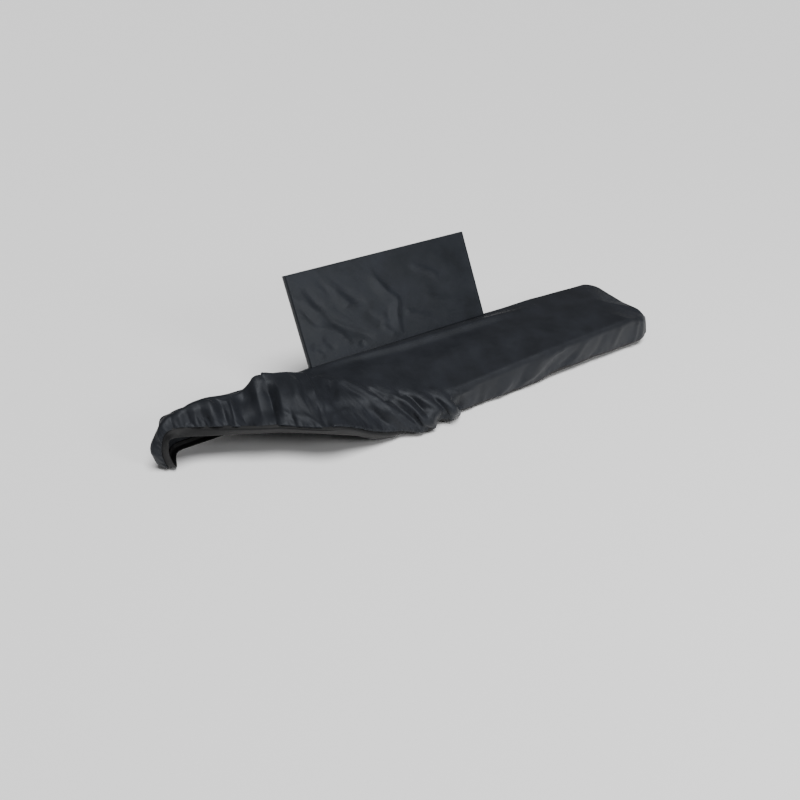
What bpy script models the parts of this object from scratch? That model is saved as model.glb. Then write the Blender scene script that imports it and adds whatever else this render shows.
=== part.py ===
"""Fitted dust cover for a slim full-length digital piano, with a sleeve that stands up over the music rest.

The cover is one body panel gathered onto an elastic band, and a sleeve sewn from a front and a back panel.
Its front left corner is pulled up and pushed back over the keys, so that the elastic band crosses the keyboard
from the left end to the front edge and the spare cloth lies in folds behind it. The piano isn't part of it.

The form is worked out in the piano's own frame: X along the keyboard to the player's right, Y from the player to
the back, Z up, with Y = 0 on the cover's front and Z = 0 on the piano's underside. The finished meshes are then
moved so that the part's origin lies under the middle of the top, where the piano holds it up. All in metres.
"""

import math
from collections import namedtuple

import bmesh
import bpy
import numpy as np

# Outline of the covered piano, seen from above
HALF_LENGTH = 0.660
DEPTH = 0.234
CORNER_RADIUS = 0.045

# Cloth, elastic and the gap left between sewn pieces
CLOTH_THICKNESS = 0.002
BAND_THICKNESS = 0.0016
SEAM_GAP = 0.0007

# The line along the middle of the top, from which the cloth runs out to the hem on every side
SPINE_HALF_LENGTH = 0.560
SPINE_STRAIGHT = 0.440
SPINE_DEPTH = 0.110
DECK_HEIGHT = 0.0945
DECK_FRONT_DEPTH = 0.150

# Rounding of the top edge and of the skirt
EDGE_ROUNDING = 0.012
BELLY_ROUNDING = 0.018
BELLY_BULGE = 0.003

# The elastic band, which turns in under the piano
BAND_TURN = 0.007
BAND_TUCK = 0.015
BAND_ROUNDING = 0.004
BAND_LOW = -0.002

# The sleeve over the music rest
SLEEVE_LEFT = -0.285
SLEEVE_RIGHT = 0.243
SLEEVE_FOOT = (0.2212, 0.0963)
SLEEVE_TALL = 0.224
SLEEVE_LEAN = math.radians(28.4)
SLEEVE_DEEP = 0.014
SLEEVE_ROUNDING = 0.006
SLOT_MARGIN = 0.003
SLOT_DROP = 0.009

# Where the part's origin lies in the piano's frame
ORIGIN = np.array((0.0, SPINE_DEPTH, 0.084))

# Columns round the outline and rings from the spine down to the hem
FINE_FROM = 0.000
FINE_TO = 0.920
FINE_STEP = 0.0135
SKIRT_STEP = 0.027
COARSE_STEP = 0.060
CORNER_STEP = 0.0177
RINGS = (0.0, 0.35, 0.6, 0.8, 1.0, 1.5, 2.0, 2.5, 3.0, 3.5, 4.0, 4.5, 5.0)
BAND_RINGS = (0.0, 1.5, 3.0)
SLOT_RINGS = (1.0, 2.0)

# Lengths round the outline, from the middle of the front towards the left end
SIDE = HALF_LENGTH - CORNER_RADIUS
END = DEPTH - 2 * CORNER_RADIUS
QUARTER = math.pi / 2 * CORNER_RADIUS
PERIMETER = 4 * SIDE + 2 * END + 4 * QUARTER
BACK_FROM = SIDE + QUARTER + END + QUARTER

Spine = namedtuple("Spine", "x depth half_width")
Edge = namedtuple("Edge", "at height hem drawn_in flare")
Section = namedtuple("Section", "at crest belly hem band")
Fold = namedtuple("Fold", "at down to_at to_down bend height near far")
Crease = namedtuple("Crease", "across up to_across to_up bow height half_width")

# Where the spine runs: back out of the way of the folds at the lifted corner
SPINE = (
    Spine(-0.560, 0.216, 0.004),
    Spine(-0.440, 0.216, 0.004),
    Spine(-0.340, 0.211, 0.005),
    Spine(-0.280, 0.197, 0.006),
    Spine(-0.200, 0.166, 0.008),
    Spine(-0.120, 0.130, 0.010),
    Spine(-0.040, 0.112, 0.012),
    Spine(0.560, 0.110, 0.012),
)

# Height of the top edge and of the hem, and how far the top edge is drawn in and the hem stands out, at places round
# the outline; at counts from the middle of the front
EDGES = (
    Edge(-1.600, 0.0945, 0.008, 0.000, 0.000),
    Edge(-1.100, 0.0930, 0.008, 0.000, 0.000),
    Edge(-0.900, 0.0890, 0.008, 0.006, 0.000),
    Edge(-0.860, 0.0850, 0.009, 0.010, 0.000),
    Edge(-0.800, 0.0780, 0.013, 0.010, 0.002),
    Edge(-0.740, 0.0710, 0.020, 0.008, 0.004),
    Edge(-0.690, 0.0690, 0.023, 0.004, 0.005),
    Edge(-0.660, 0.0620, 0.021, 0.006, 0.005),
    Edge(-0.615, 0.0680, 0.010, 0.004, 0.003),
    Edge(-0.566, 0.0800, 0.007, 0.000, 0.000),
    Edge(-0.500, 0.0780, 0.007, 0.000, 0.000),
    Edge(-0.440, 0.0765, 0.010, 0.000, 0.000),
    Edge(-0.380, 0.0750, 0.008, 0.000, 0.000),
    Edge(-0.290, 0.0735, 0.008, 0.000, 0.000),
    Edge(-0.250, 0.0725, 0.002, 0.000, 0.002),
    Edge(-0.147, 0.0680, 0.000, 0.000, 0.002),
    Edge(-0.098, 0.0650, 0.001, 0.000, 0.000),
    Edge(-0.005, 0.0600, 0.001, 0.000, 0.002),
    Edge(0.070, 0.0570, 0.002, 0.000, 0.000),
    Edge(0.700, 0.0700, 0.008, 0.000, 0.000),
    Edge(0.850, 0.0920, 0.008, 0.000, 0.000),
    Edge(0.900, 0.0945, 0.008, 0.000, 0.000),
    Edge(1.600, 0.0945, 0.008, 0.000, 0.000),
)

# The pulled-up corner in sections round the outline: the points each passes from its crest down to the band
LIFTED = (
    Section(0.055, (-0.054, 0.014, 0.064), (-0.057, -0.034, 0.032), (-0.055, -0.026, 0.002), (-0.054, -0.004, -0.006)),
    Section(0.088, (-0.086, 0.020, 0.066), (-0.086, -0.022, 0.040), (-0.084, -0.014, 0.008), (-0.084, 0.002, -0.003)),
    Section(0.120, (-0.118, 0.026, 0.070), (-0.120, -0.036, 0.032), (-0.116, -0.030, 0.000), (-0.114, -0.006, -0.006)),
    Section(0.175, (-0.176, 0.050, 0.078), (-0.172, -0.002, 0.050), (-0.168, -0.010, 0.006), (-0.170, -0.003, -0.002)),
    Section(0.225, (-0.224, 0.090, 0.092), (-0.218, 0.026, 0.072), (-0.222, -0.009, 0.020), (-0.222, -0.004, 0.001)),
    Section(0.270, (-0.270, 0.136, 0.102), (-0.266, 0.060, 0.090), (-0.270, -0.009, 0.040), (-0.268, -0.004, 0.018)),
    Section(0.310, (-0.308, 0.180, 0.109), (-0.310, 0.090, 0.100), (-0.309, -0.008, 0.062), (-0.306, -0.003, 0.039)),
    Section(0.345, (-0.345, 0.193, 0.121), (-0.346, 0.104, 0.110), (-0.345, -0.006, 0.078), (-0.345, -0.003, 0.056)),
    Section(0.370, (-0.370, 0.195, 0.130), (-0.371, 0.112, 0.114), (-0.370, 0.001, 0.079), (-0.371, 0.014, 0.059)),
    Section(0.400, (-0.400, 0.196, 0.137), (-0.400, 0.118, 0.118), (-0.400, 0.024, 0.079), (-0.405, 0.041, 0.059)),
    Section(0.425, (-0.425, 0.196, 0.146), (-0.425, 0.122, 0.120), (-0.424, 0.046, 0.079), (-0.427, 0.058, 0.059)),
    Section(0.448, (-0.446, 0.196, 0.146), (-0.450, 0.128, 0.117), (-0.449, 0.066, 0.080), (-0.451, 0.076, 0.059)),
    Section(0.485, (-0.484, 0.197, 0.116), (-0.484, 0.140, 0.104), (-0.482, 0.084, 0.080), (-0.484, 0.094, 0.059)),
    Section(0.515, (-0.515, 0.198, 0.118), (-0.512, 0.152, 0.108), (-0.509, 0.101, 0.080), (-0.514, 0.112, 0.059)),
    Section(0.545, (-0.545, 0.198, 0.123), (-0.542, 0.164, 0.112), (-0.539, 0.122, 0.080), (-0.543, 0.128, 0.059)),
    Section(0.580, (-0.580, 0.199, 0.124), (-0.576, 0.174, 0.115), (-0.572, 0.144, 0.081), (-0.580, 0.146, 0.060)),
    Section(0.615, (-0.612, 0.200, 0.117), (-0.610, 0.184, 0.112), (-0.606, 0.161, 0.083), (-0.616, 0.160, 0.064)),
    Section(0.645, (-0.634, 0.202, 0.109), (-0.640, 0.188, 0.105), (-0.640, 0.173, 0.087), (-0.646, 0.157, 0.074)),
    Section(0.672, (-0.645, 0.205, 0.104), (-0.669, 0.190, 0.096), (-0.664, 0.176, 0.080), (-0.663, 0.157, 0.074)),
    Section(0.700, (-0.650, 0.208, 0.101), (-0.687, 0.190, 0.074), (-0.675, 0.174, 0.058), (-0.667, 0.160, 0.056)),
    Section(0.730, (-0.653, 0.212, 0.098), (-0.697, 0.190, 0.040), (-0.678, 0.174, 0.032), (-0.667, 0.162, 0.034)),
    Section(0.765, (-0.655, 0.217, 0.096), (-0.696, 0.192, 0.006), (-0.672, 0.172, 0.002), (-0.660, 0.160, 0.006)),
    Section(0.805, (-0.656, 0.222, 0.095), (-0.684, 0.206, 0.008), (-0.664, 0.188, -0.006), (-0.652, 0.172, -0.006)),
)

# Folds of the body panel. Each runs from one place on the cloth to another, bowed sideways by bend; at counts round
# the outline and down from 0 at the spine through 1.5 at the crest and 3.5 at the belly to 5 at the hem. A ridge
# has a height above 0 and a trough one below; near and far are its half widths on the side of lower and higher at.
FOLDS = (
    Fold(0.610, 3.2, 0.622, 4.9, 0.000, -0.0045, 0.008, 0.008),
    Fold(0.598, 3.0, 0.604, 5.0, 0.000, 0.0040, 0.009, 0.010),
    Fold(0.590, 3.5, 0.590, 5.0, 0.000, -0.0050, 0.009, 0.009),
    Fold(0.556, 2.0, 0.574, 5.0, 0.000, 0.0050, 0.012, 0.012),
    Fold(0.532, 2.6, 0.552, 5.0, 0.000, -0.0060, 0.011, 0.012),
    Fold(0.512, 2.4, 0.536, 5.0, 0.000, 0.0045, 0.009, 0.009),
    Fold(0.472, 1.4, 0.518, 5.0, 0.004, -0.0075, 0.013, 0.014),
    Fold(0.448, 1.2, 0.500, 5.0, 0.006, 0.0060, 0.014, 0.014),
    Fold(0.404, 1.5, 0.462, 4.8, 0.006, -0.0130, 0.015, 0.022),
    Fold(0.362, 1.5, 0.418, 4.4, 0.010, 0.0065, 0.015, 0.014),
    Fold(0.440, 4.2, 0.446, 5.0, 0.000, 0.0040, 0.008, 0.008),
    Fold(0.300, 1.0, 0.330, 3.4, 0.000, -0.0060, 0.014, 0.012),
    Fold(0.318, 2.0, 0.354, 4.2, 0.000, 0.0040, 0.010, 0.012),
    Fold(0.284, 2.0, 0.322, 4.4, 0.000, -0.0055, 0.010, 0.010),
    Fold(0.336, 4.2, 0.372, 5.0, 0.000, -0.0055, 0.010, 0.010),
    Fold(0.258, 1.8, 0.226, 3.4, -0.012, 0.0090, 0.011, 0.013),
    Fold(0.226, 3.4, 0.154, 5.0, 0.004, 0.0090, 0.011, 0.013),
    Fold(0.214, 1.2, 0.206, 3.0, -0.012, -0.0090, 0.014, 0.012),
    Fold(0.262, 3.9, 0.216, 4.6, 0.004, -0.0060, 0.010, 0.012),
    Fold(0.190, 2.4, 0.156, 4.3, -0.004, -0.0075, 0.010, 0.010),
    Fold(0.168, 1.8, 0.134, 4.8, -0.004, 0.0070, 0.010, 0.011),
    Fold(0.158, 1.0, 0.128, 3.4, -0.010, -0.0070, 0.011, 0.011),
    Fold(0.120, 1.6, 0.084, 4.4, -0.006, 0.0075, 0.011, 0.012),
    Fold(0.100, 2.2, 0.060, 4.6, -0.002, -0.0070, 0.010, 0.011),
    Fold(0.078, 1.6, 0.030, 5.0, -0.004, 0.0070, 0.011, 0.012),
    Fold(0.050, 2.4, 0.006, 4.6, 0.000, -0.0050, 0.012, 0.012),
    Fold(-0.300, 1.6, -0.178, 4.6, 0.000, 0.0040, 0.018, 0.018),
    Fold(-0.330, 3.2, -0.250, 4.2, 0.000, -0.0035, 0.018, 0.018),
    Fold(-0.374, 3.2, -0.310, 4.6, 0.000, -0.0035, 0.018, 0.018),
    Fold(-0.140, 3.2, -0.100, 5.0, 0.000, 0.0035, 0.018, 0.018),
    Fold(1.320, 0.6, 1.900, 0.6, 0.000, 0.0035, 0.014, 0.014),
)

# Folds of the sleeve's front, in metres across from its left side and up from its foot
SLEEVE_FOLDS = (
    Crease(0.029, 0.195, 0.079, 0.123, -0.004, -0.0030, 0.011),
    Crease(0.022, 0.175, 0.083, 0.093, -0.002, 0.0028, 0.011),
    Crease(0.060, 0.120, 0.193, 0.016, -0.004, -0.0028, 0.013),
    Crease(0.048, 0.066, 0.082, 0.022, 0.000, -0.0028, 0.011),
    Crease(0.013, 0.054, 0.050, 0.027, 0.000, -0.0024, 0.010),
    Crease(0.092, 0.184, 0.148, 0.112, 0.008, 0.0030, 0.014),
    Crease(0.115, 0.164, 0.197, 0.108, 0.002, -0.0030, 0.013),
    Crease(0.219, 0.201, 0.277, 0.099, 0.004, 0.0042, 0.011),
    Crease(0.277, 0.099, 0.270, 0.008, -0.006, 0.0042, 0.011),
    Crease(0.236, 0.180, 0.286, 0.082, 0.010, -0.0022, 0.014),
    Crease(0.339, 0.182, 0.415, 0.116, 0.004, 0.0030, 0.012),
    Crease(0.287, 0.073, 0.369, 0.034, -0.008, 0.0026, 0.013),
    Crease(0.213, 0.057, 0.256, 0.008, 0.000, 0.0026, 0.012),
)


def mix(a, b, share):
    """The value that lies that share of the way from a to b."""
    return a + (b - a) * share


def soft_step(x):
    """0 below 0 and 1 above 1, with a smooth rise between."""
    x = np.clip(x, 0.0, 1.0)
    return x * x * (3.0 - 2.0 * x)


def unit(vector):
    return vector / np.linalg.norm(vector)


def outline(at):
    """Place and outward direction on the rounded outline, so far round from the middle of the front."""
    at = at % PERIMETER
    middle = SIDE + QUARTER + END / 2
    if at > PERIMETER / 2:
        place, out = outline(PERIMETER - at)
        return place * (-1.0, 1.0), out * (-1.0, 1.0)
    if at > middle:
        place, out = outline(2 * middle - at)
        return np.array((place[0], DEPTH - place[1])), out * (1.0, -1.0)
    if at < SIDE:
        return np.array((-at, 0.0)), np.array((0.0, -1.0))
    turn = min((at - SIDE) / CORNER_RADIUS, math.pi / 2)
    out = np.array((-math.sin(turn), -math.cos(turn)))
    place = np.array((-SIDE, CORNER_RADIUS)) + out * CORNER_RADIUS
    return place + (0.0, max(0.0, at - SIDE - QUARTER)), out


def spine(at):
    """The point of the spine loop from which the column at that place round the outline starts."""
    place, out = outline(at)
    x = np.interp(place[0], (-SIDE, -SPINE_STRAIGHT, SPINE_STRAIGHT, SIDE),
                  (-SPINE_HALF_LENGTH, -SPINE_STRAIGHT, SPINE_STRAIGHT, SPINE_HALF_LENGTH))
    known = [row.x for row in SPINE]
    width = np.interp(x, known, [row.half_width for row in SPINE])
    y = np.interp(x, known, [row.depth for row in SPINE]) + out[1] * width
    front = edge_at(-x).height
    z = min(DECK_HEIGHT, mix(front, DECK_HEIGHT, y / DECK_FRONT_DEPTH))
    return np.array((x + out[0] * width, y, z))


def edge_at(at):
    """The row of EDGES for any place round the outline."""
    signed = (at + PERIMETER / 2) % PERIMETER - PERIMETER / 2
    known = [row.at for row in EDGES]
    return Edge(*(np.interp(signed, known, values) for values in zip(*EDGES)))


def plain_section(at):
    """Crest, belly, hem and band end of a section where the cloth hangs straight over the piano's edge."""
    place, out = outline(at)
    edge = edge_at(at)
    crest = (*(place - out * edge.drawn_in), edge.height)
    belly = (*(place + out * (BELLY_BULGE + edge.flare / 2 - edge.drawn_in / 2)), mix(edge.hem, edge.height, 0.5))
    foot = (*(place + out * edge.flare), edge.hem)
    band = (*(place - out * BAND_TUCK), edge.hem - BAND_TURN + BAND_LOW)
    return np.array((crest, belly, foot, band))


def lifted_rows():
    """The table of lifted sections, with a plain section on either side of it to run out into."""
    rows = [(at, plain_section(at)) for at in (-0.040, 0.015)]
    rows += [(row.at, np.array((row.crest, row.belly, row.hem, row.band))) for row in LIFTED]
    rows += [(at, plain_section(at)) for at in (0.875, 0.930)]
    return rows


def section(at):
    """Crest, belly, hem and band end at any place round the outline, passing smoothly through the rows."""
    rows = lifted_rows()
    signed = (at + PERIMETER / 2) % PERIMETER - PERIMETER / 2
    places = [row[0] for row in rows]
    if not places[1] < signed < places[-2]:
        return plain_section(at)
    i = int(np.searchsorted(places, signed)) - 1
    (p0, a), (p1, b), (p2, c), (p3, d) = rows[i - 1:i + 3]
    span = p2 - p1
    t = (signed - p1) / span
    leave = (c - a) / (p2 - p0) * span
    arrive = (d - b) / (p3 - p1) * span
    return (b * (2 * t**3 - 3 * t**2 + 1) + leave * (t**3 - 2 * t**2 + t)
            + c * (3 * t**2 - 2 * t**3) + arrive * (t**3 - t**2))


def rounded_path(points, rounding, down):
    """Places on a path through points with each inner corner rounded, for down from 0 up to twice the corners + 1.

    Every straight run and every corner takes one unit of down.
    """
    stops = [points[0]]
    for before, corner, after, radii in zip(points, points[1:], points[2:], rounding):
        for other, radius in ((before, radii[0]), (after, radii[1])):
            away = other - corner
            length = np.linalg.norm(away)
            stops.append(corner + away / length * min(radius, 0.46 * length))
    stops.append(points[-1])
    placed = []
    for value in down:
        i = min(int(value), len(stops) - 2)
        t = value - i
        straight = mix(stops[i], stops[i + 1], t)
        if i % 2:
            corner = points[(i + 1) // 2]
            straight = mix(mix(stops[i], corner, t), mix(corner, stops[i + 1], t), t)
        placed.append(straight)
    return np.array(placed)


def in_slot(x):
    """1 over the slot under the sleeve, falling to 0 a little way beyond its ends."""
    return soft_step((x - SLEEVE_LEFT + 0.03) / 0.028) * soft_step((SLEEVE_RIGHT + 0.03 - x) / 0.028)


def body_column(at, down):
    """Places down one column of the body panel, before its folds."""
    crest, belly, hem, _ = section(at)
    slot = in_slot(crest[0]) if crest[1] > DEPTH / 2 and at % PERIMETER > BACK_FROM else 0.0
    edge = (EDGE_ROUNDING, mix(EDGE_ROUNDING, SLOT_DROP, slot))
    points = [spine(at), crest, belly, hem]
    return rounded_path(points, (edge, (BELLY_ROUNDING, BELLY_ROUNDING)), down)


def band_column(at, down):
    """Places down one column of the elastic band, which starts just below the hem and turns in."""
    _, belly, hem, band = section(at)
    way = unit(hem - belly)
    points = [hem + way * SEAM_GAP, hem + way * BAND_TURN, band]
    return rounded_path(points, ((BAND_ROUNDING, BAND_ROUNDING),), down)


def fold_curve(fold, count=15):
    """Places in the grid along the run of one fold, and how far each keeps of the fold's full height."""
    share = np.linspace(0.0, 1.0, count)
    at = mix(fold.at, fold.to_at, share) + fold.bend * 4 * share * (1 - share)
    down = mix(fold.down, fold.to_down, share)
    start = 1.0 if fold.down in (0.0, 5.0) else 0.25
    finish = 1.0 if fold.to_down in (0.0, 5.0) else 0.25
    keep = mix(start, 1.0, soft_step(share / 0.3)) * mix(finish, 1.0, soft_step((1 - share) / 0.3))
    return at, down, keep


def surface_normals(grid, closed):
    """Outward directions at every place of a grid of columns and rings."""
    if closed:
        across = np.roll(grid, -1, axis=0) - np.roll(grid, 1, axis=0)
    else:
        across = np.gradient(grid, axis=0)
    along = np.gradient(grid, axis=1)
    normal = np.cross(across, along)
    return normal / np.maximum(np.linalg.norm(normal, axis=2, keepdims=True), 1e-9)


def folded(grid, closed, columns, rings, folds, place):
    """The grid pushed out along its normals by every fold of the table."""
    normal = surface_normals(grid, closed)
    height = np.zeros(grid.shape[:2])
    for fold in folds:
        at, down, keep = fold_curve(fold)
        curve = np.array([place(a, (d,))[0] for a, d in zip(at, down)])
        apart = np.linalg.norm(grid[:, :, None, :] - curve, axis=3)
        nearest = np.argmin(apart, axis=2)
        gap = np.min(apart, axis=2)
        beyond = columns[:, None] > np.interp(rings, np.sort(down), at[np.argsort(down)])[None, :]
        width = np.where(beyond, fold.far, fold.near)
        height += fold.height * keep[nearest] * np.exp(-(gap / width) ** 2)
    return grid + normal * height[:, :, None]


def column_places():
    """Where the columns stand round the outline: close together at the lifted corner, wider apart elsewhere."""
    middle = BACK_FROM + SIDE
    right = BACK_FROM + 2 * SIDE
    runs = (
        (FINE_FROM, FINE_STEP),
        (FINE_TO, COARSE_STEP),
        (middle + SLEEVE_LEFT - SLOT_MARGIN, COARSE_STEP),
        (middle + SLEEVE_RIGHT + SLOT_MARGIN, COARSE_STEP),
        (right, CORNER_STEP),
        (right + QUARTER, COARSE_STEP),
        (right + QUARTER + END, CORNER_STEP),
        (right + 2 * QUARTER + END, SKIRT_STEP),
        (PERIMETER + FINE_FROM, 0.0),
    )
    places = []
    for (start, step), (finish, _) in zip(runs, runs[1:]):
        count = max(1, round((finish - start) / step))
        places.extend(np.linspace(start, finish, count + 1)[:-1])
    return np.array(places)


def grid_of(columns, rings, place):
    return np.array([place(at, rings) for at in columns])


def body_grid(columns, rings):
    """Every place of the folded body panel."""
    grid = grid_of(columns, rings, body_column)
    return folded(grid, True, columns, rings, FOLDS, body_column)


def band_grid(columns, rings):
    return grid_of(columns, rings, band_column)


def slot_cell(at, down):
    """Whether the cell that starts at this column and ring lies in the slot under the sleeve."""
    x = at - BACK_FROM - SIDE
    across = SLEEVE_LEFT - 2 * SLOT_MARGIN < x < SLEEVE_RIGHT
    return across and SLOT_RINGS[0] <= down < SLOT_RINGS[1]


def closed_faces(columns, rings, left_out):
    """Faces of a grid whose last column meets its first, leaving out the cells that the test picks."""
    count = len(columns)
    wide = len(rings)
    faces = []
    for i in range(count):
        for j in range(wide - 1):
            if not left_out(columns[i], rings[j]):
                after = (i + 1) % count
                faces.append((i * wide + j, i * wide + j + 1, after * wide + j + 1, after * wide + j))
    return faces


def thick_sheet(name, places, faces, thickness, material):
    """A closed solid of even thickness on a sheet, half of it on either side."""
    sheet = bmesh.new()
    verts = [sheet.verts.new(place - ORIGIN) for place in places]
    for face in faces:
        sheet.faces.new([verts[i] for i in face])
    bmesh.ops.triangulate(sheet, faces=[face for face in sheet.faces if len(face.verts) > 4], ngon_method="BEAUTY")
    bmesh.ops.delete(sheet, geom=[vert for vert in sheet.verts if not vert.link_faces], context="VERTS")
    sheet.normal_update()
    lower = {}
    for vert in list(sheet.verts):
        offset = vert.normal * (thickness / 2 * min(vert.calc_shell_factor(), 1.3))
        lower[vert] = vert.co - offset
        vert.co += offset
    upper_faces = list(sheet.faces)
    rims = [(loop.vert, loop.link_loop_next.vert) for face in upper_faces for loop in face.loops
            if loop.edge.is_boundary]
    lower = {vert: sheet.verts.new(co) for vert, co in lower.items()}
    for face in upper_faces:
        sheet.faces.new([lower[vert] for vert in reversed(face.verts)])
    for start, finish in rims:
        sheet.faces.new((finish, start, lower[start], lower[finish]))
    sheet.normal_update()
    mesh = bpy.data.meshes.new(name)
    sheet.to_mesh(mesh)
    sheet.free()
    mesh.materials.append(material)
    mesh.shade_smooth()
    mesh.set_sharp_from_angle(angle=math.radians(50))
    node = bpy.data.objects.new(name, mesh)
    bpy.context.scene.collection.objects.link(node)
    return node


def body_panel(material):
    """The body: skirts, ends and top in one cloth, with the slot for the sleeve along its back edge."""
    columns = column_places()
    rings = np.array(RINGS)
    grid = body_grid(columns, rings)
    faces = closed_faces(columns, rings, slot_cell)
    faces.append([i * len(rings) for i in range(len(columns))])
    return thick_sheet("body_panel", grid.reshape(-1, 3), faces, CLOTH_THICKNESS, material)


def hem_elastic(material):
    """The elastic band round the whole opening, stretched flat and smooth."""
    columns = column_places()
    rings = np.array(BAND_RINGS)
    grid = band_grid(columns, rings)
    faces = closed_faces(columns, rings, lambda at, down: False)
    return thick_sheet("hem_elastic", grid.reshape(-1, 3), faces, BAND_THICKNESS, material)


def sleeve_place(x, up, back):
    """The place in the piano's frame of a point of the sleeve: across, up its slope and back from its front."""
    lean = SLEEVE_LEAN
    y = SLEEVE_FOOT[0] + up * math.sin(lean) + back * math.cos(lean)
    z = SLEEVE_FOOT[1] + up * math.cos(lean) - back * math.sin(lean)
    return (x, y, z)


def edge_steps(rounding, count):
    """Distances in from an edge that follow its rounding, from the edge itself inwards."""
    return [rounding * (1 - math.cos(math.pi / 2 * i / count)) for i in range(count)]


def sleeve_lines(across_step, up_step):
    """Distances across and up the sleeve at which its grid lines lie."""
    steps = edge_steps(SLEEVE_ROUNDING, 3)
    width = SLEEVE_RIGHT - SLEEVE_LEFT
    inner = np.linspace(SLEEVE_ROUNDING, width - SLEEVE_ROUNDING, round(width / across_step) + 1)
    across = np.array([*steps, *inner, *(width - step for step in reversed(steps))])
    rise = np.linspace(0.0, SLEEVE_TALL - SLEEVE_ROUNDING, round(SLEEVE_TALL / up_step) + 1)
    up = np.array([*rise, *(SLEEVE_TALL - step for step in reversed(steps))])
    return across, up


def sleeve_turn(across, up):
    """How far the panel has turned back towards its seam: 1 on the seam at the sides and top, 0 on the face."""
    width = SLEEVE_RIGHT - SLEEVE_LEFT
    inward = np.minimum(np.minimum(across, width - across), SLEEVE_TALL - up)
    short = np.clip(1 - inward / SLEEVE_ROUNDING, 0.0, 1.0)
    return 1 - np.sqrt(np.maximum(0.0, 1 - short**2))


def sleeve_heights(wide, tall, creases):
    """How far the creases of the table push each place of the panel out of its plane."""
    height = np.zeros(wide.shape)
    for crease in creases:
        start = np.array((crease.across, crease.up))
        run = np.array((crease.to_across, crease.to_up)) - start
        length = np.linalg.norm(run)
        way = run / length
        along = ((wide - start[0]) * way[0] + (tall - start[1]) * way[1]) / length
        off = (tall - start[1]) * way[0] - (wide - start[0]) * way[1]
        held = np.clip(along, 0.0, 1.0)
        gap = np.hypot(off - crease.bow * 4 * held * (1 - held), (along - held) * length)
        height += crease.height * np.exp(-(gap / crease.half_width) ** 2)
    return height


def sleeve_panel(name, across_step, up_step, side, folds, material):
    """One panel of the sleeve: side is 0 for the front and 1 for the back, each turned in to the seam between."""
    across, up = sleeve_lines(across_step, up_step)
    wide, tall = np.meshgrid(across, up, indexing="ij")
    seam = SLEEVE_DEEP / 2 + (SEAM_GAP / 2 if side else -SEAM_GAP / 2)
    face = SLEEVE_DEEP * side
    turn = sleeve_turn(wide, tall)
    back = mix(face, seam, turn) - sleeve_heights(wide, tall, folds) * (1 - turn) * soft_step(tall / 0.02)
    grid = np.array([[sleeve_place(SLEEVE_LEFT + w, t, b) for w, t, b in zip(*row)]
                     for row in zip(wide, tall, back)])
    rings = len(up)
    faces = []
    for i in range(len(across) - 1):
        for j in range(rings - 1):
            corners = (i * rings + j, (i + 1) * rings + j, (i + 1) * rings + j + 1, i * rings + j + 1)
            faces.append(corners if side == 0 else corners[::-1])
    return thick_sheet(name, grid.reshape(-1, 3), faces, CLOTH_THICKNESS, material)


def fabric(name, colour, roughness):
    """A plain cloth material."""
    material = bpy.data.materials.new(name)
    material.use_nodes = True
    shader = material.node_tree.nodes["Principled BSDF"]
    shader.inputs["Base Color"].default_value = (*colour, 1.0)
    shader.inputs["Roughness"].default_value = roughness
    shader.inputs["Metallic"].default_value = 0.0
    return material


def body_fabric():
    return fabric("cover_nylon", (0.034, 0.038, 0.046), 0.48)


def front_fabric():
    return fabric("sleeve_front_nylon", (0.034, 0.038, 0.046), 0.48)


def back_fabric():
    return fabric("sleeve_back_nylon", (0.034, 0.038, 0.046), 0.48)


def elastic_fabric():
    return fabric("hem_elastic_webbing", (0.020, 0.021, 0.024), 0.62)


def main():
    for node in list(bpy.data.objects):
        bpy.data.objects.remove(node)
    body_panel(body_fabric())
    sleeve_panel("rest_sleeve_front", 0.018, 0.018, 0, SLEEVE_FOLDS, front_fabric())
    sleeve_panel("rest_sleeve_back", 0.066, 0.055, 1, (), back_fabric())
    hem_elastic(elastic_fabric())


if __name__ == "__main__":
    main()
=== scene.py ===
"""The looks of a fitted dust cover for a slim digital piano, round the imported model.

The body, the two panels of the sleeve and the elastic band are modelled again as fine cloth on the same
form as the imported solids, with the sharper folds, gathers, creases and stitches that those leave out. The
form is worked out in the piano's own frame and then moved to the row's frame by ORIGIN. In metres.
"""

import math
import random
from collections import namedtuple

import bmesh
import bpy
import numpy as np
from mathutils import Euler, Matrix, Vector, noise


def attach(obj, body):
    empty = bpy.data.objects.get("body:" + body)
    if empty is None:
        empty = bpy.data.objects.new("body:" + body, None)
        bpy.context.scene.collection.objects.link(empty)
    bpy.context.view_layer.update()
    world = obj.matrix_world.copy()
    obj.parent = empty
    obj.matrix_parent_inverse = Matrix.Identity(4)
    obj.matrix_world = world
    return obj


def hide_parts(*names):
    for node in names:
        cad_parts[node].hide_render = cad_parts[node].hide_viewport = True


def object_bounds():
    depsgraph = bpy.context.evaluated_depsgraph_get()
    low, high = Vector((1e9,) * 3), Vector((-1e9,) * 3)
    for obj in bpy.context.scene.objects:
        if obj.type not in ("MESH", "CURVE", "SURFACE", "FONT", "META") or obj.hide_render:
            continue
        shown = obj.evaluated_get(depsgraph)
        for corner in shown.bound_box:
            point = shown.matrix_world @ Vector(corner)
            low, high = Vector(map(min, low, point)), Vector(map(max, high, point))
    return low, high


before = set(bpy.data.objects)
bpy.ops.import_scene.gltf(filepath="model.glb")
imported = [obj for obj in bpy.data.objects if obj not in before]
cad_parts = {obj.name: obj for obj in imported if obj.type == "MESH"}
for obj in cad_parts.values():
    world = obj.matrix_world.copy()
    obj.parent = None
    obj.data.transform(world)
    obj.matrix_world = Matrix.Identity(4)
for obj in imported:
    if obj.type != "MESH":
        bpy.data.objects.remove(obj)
CAD_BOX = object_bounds()

# Outline of the covered piano, seen from above
HALF_LENGTH = 0.660
DEPTH = 0.234
CORNER_RADIUS = 0.045

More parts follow.
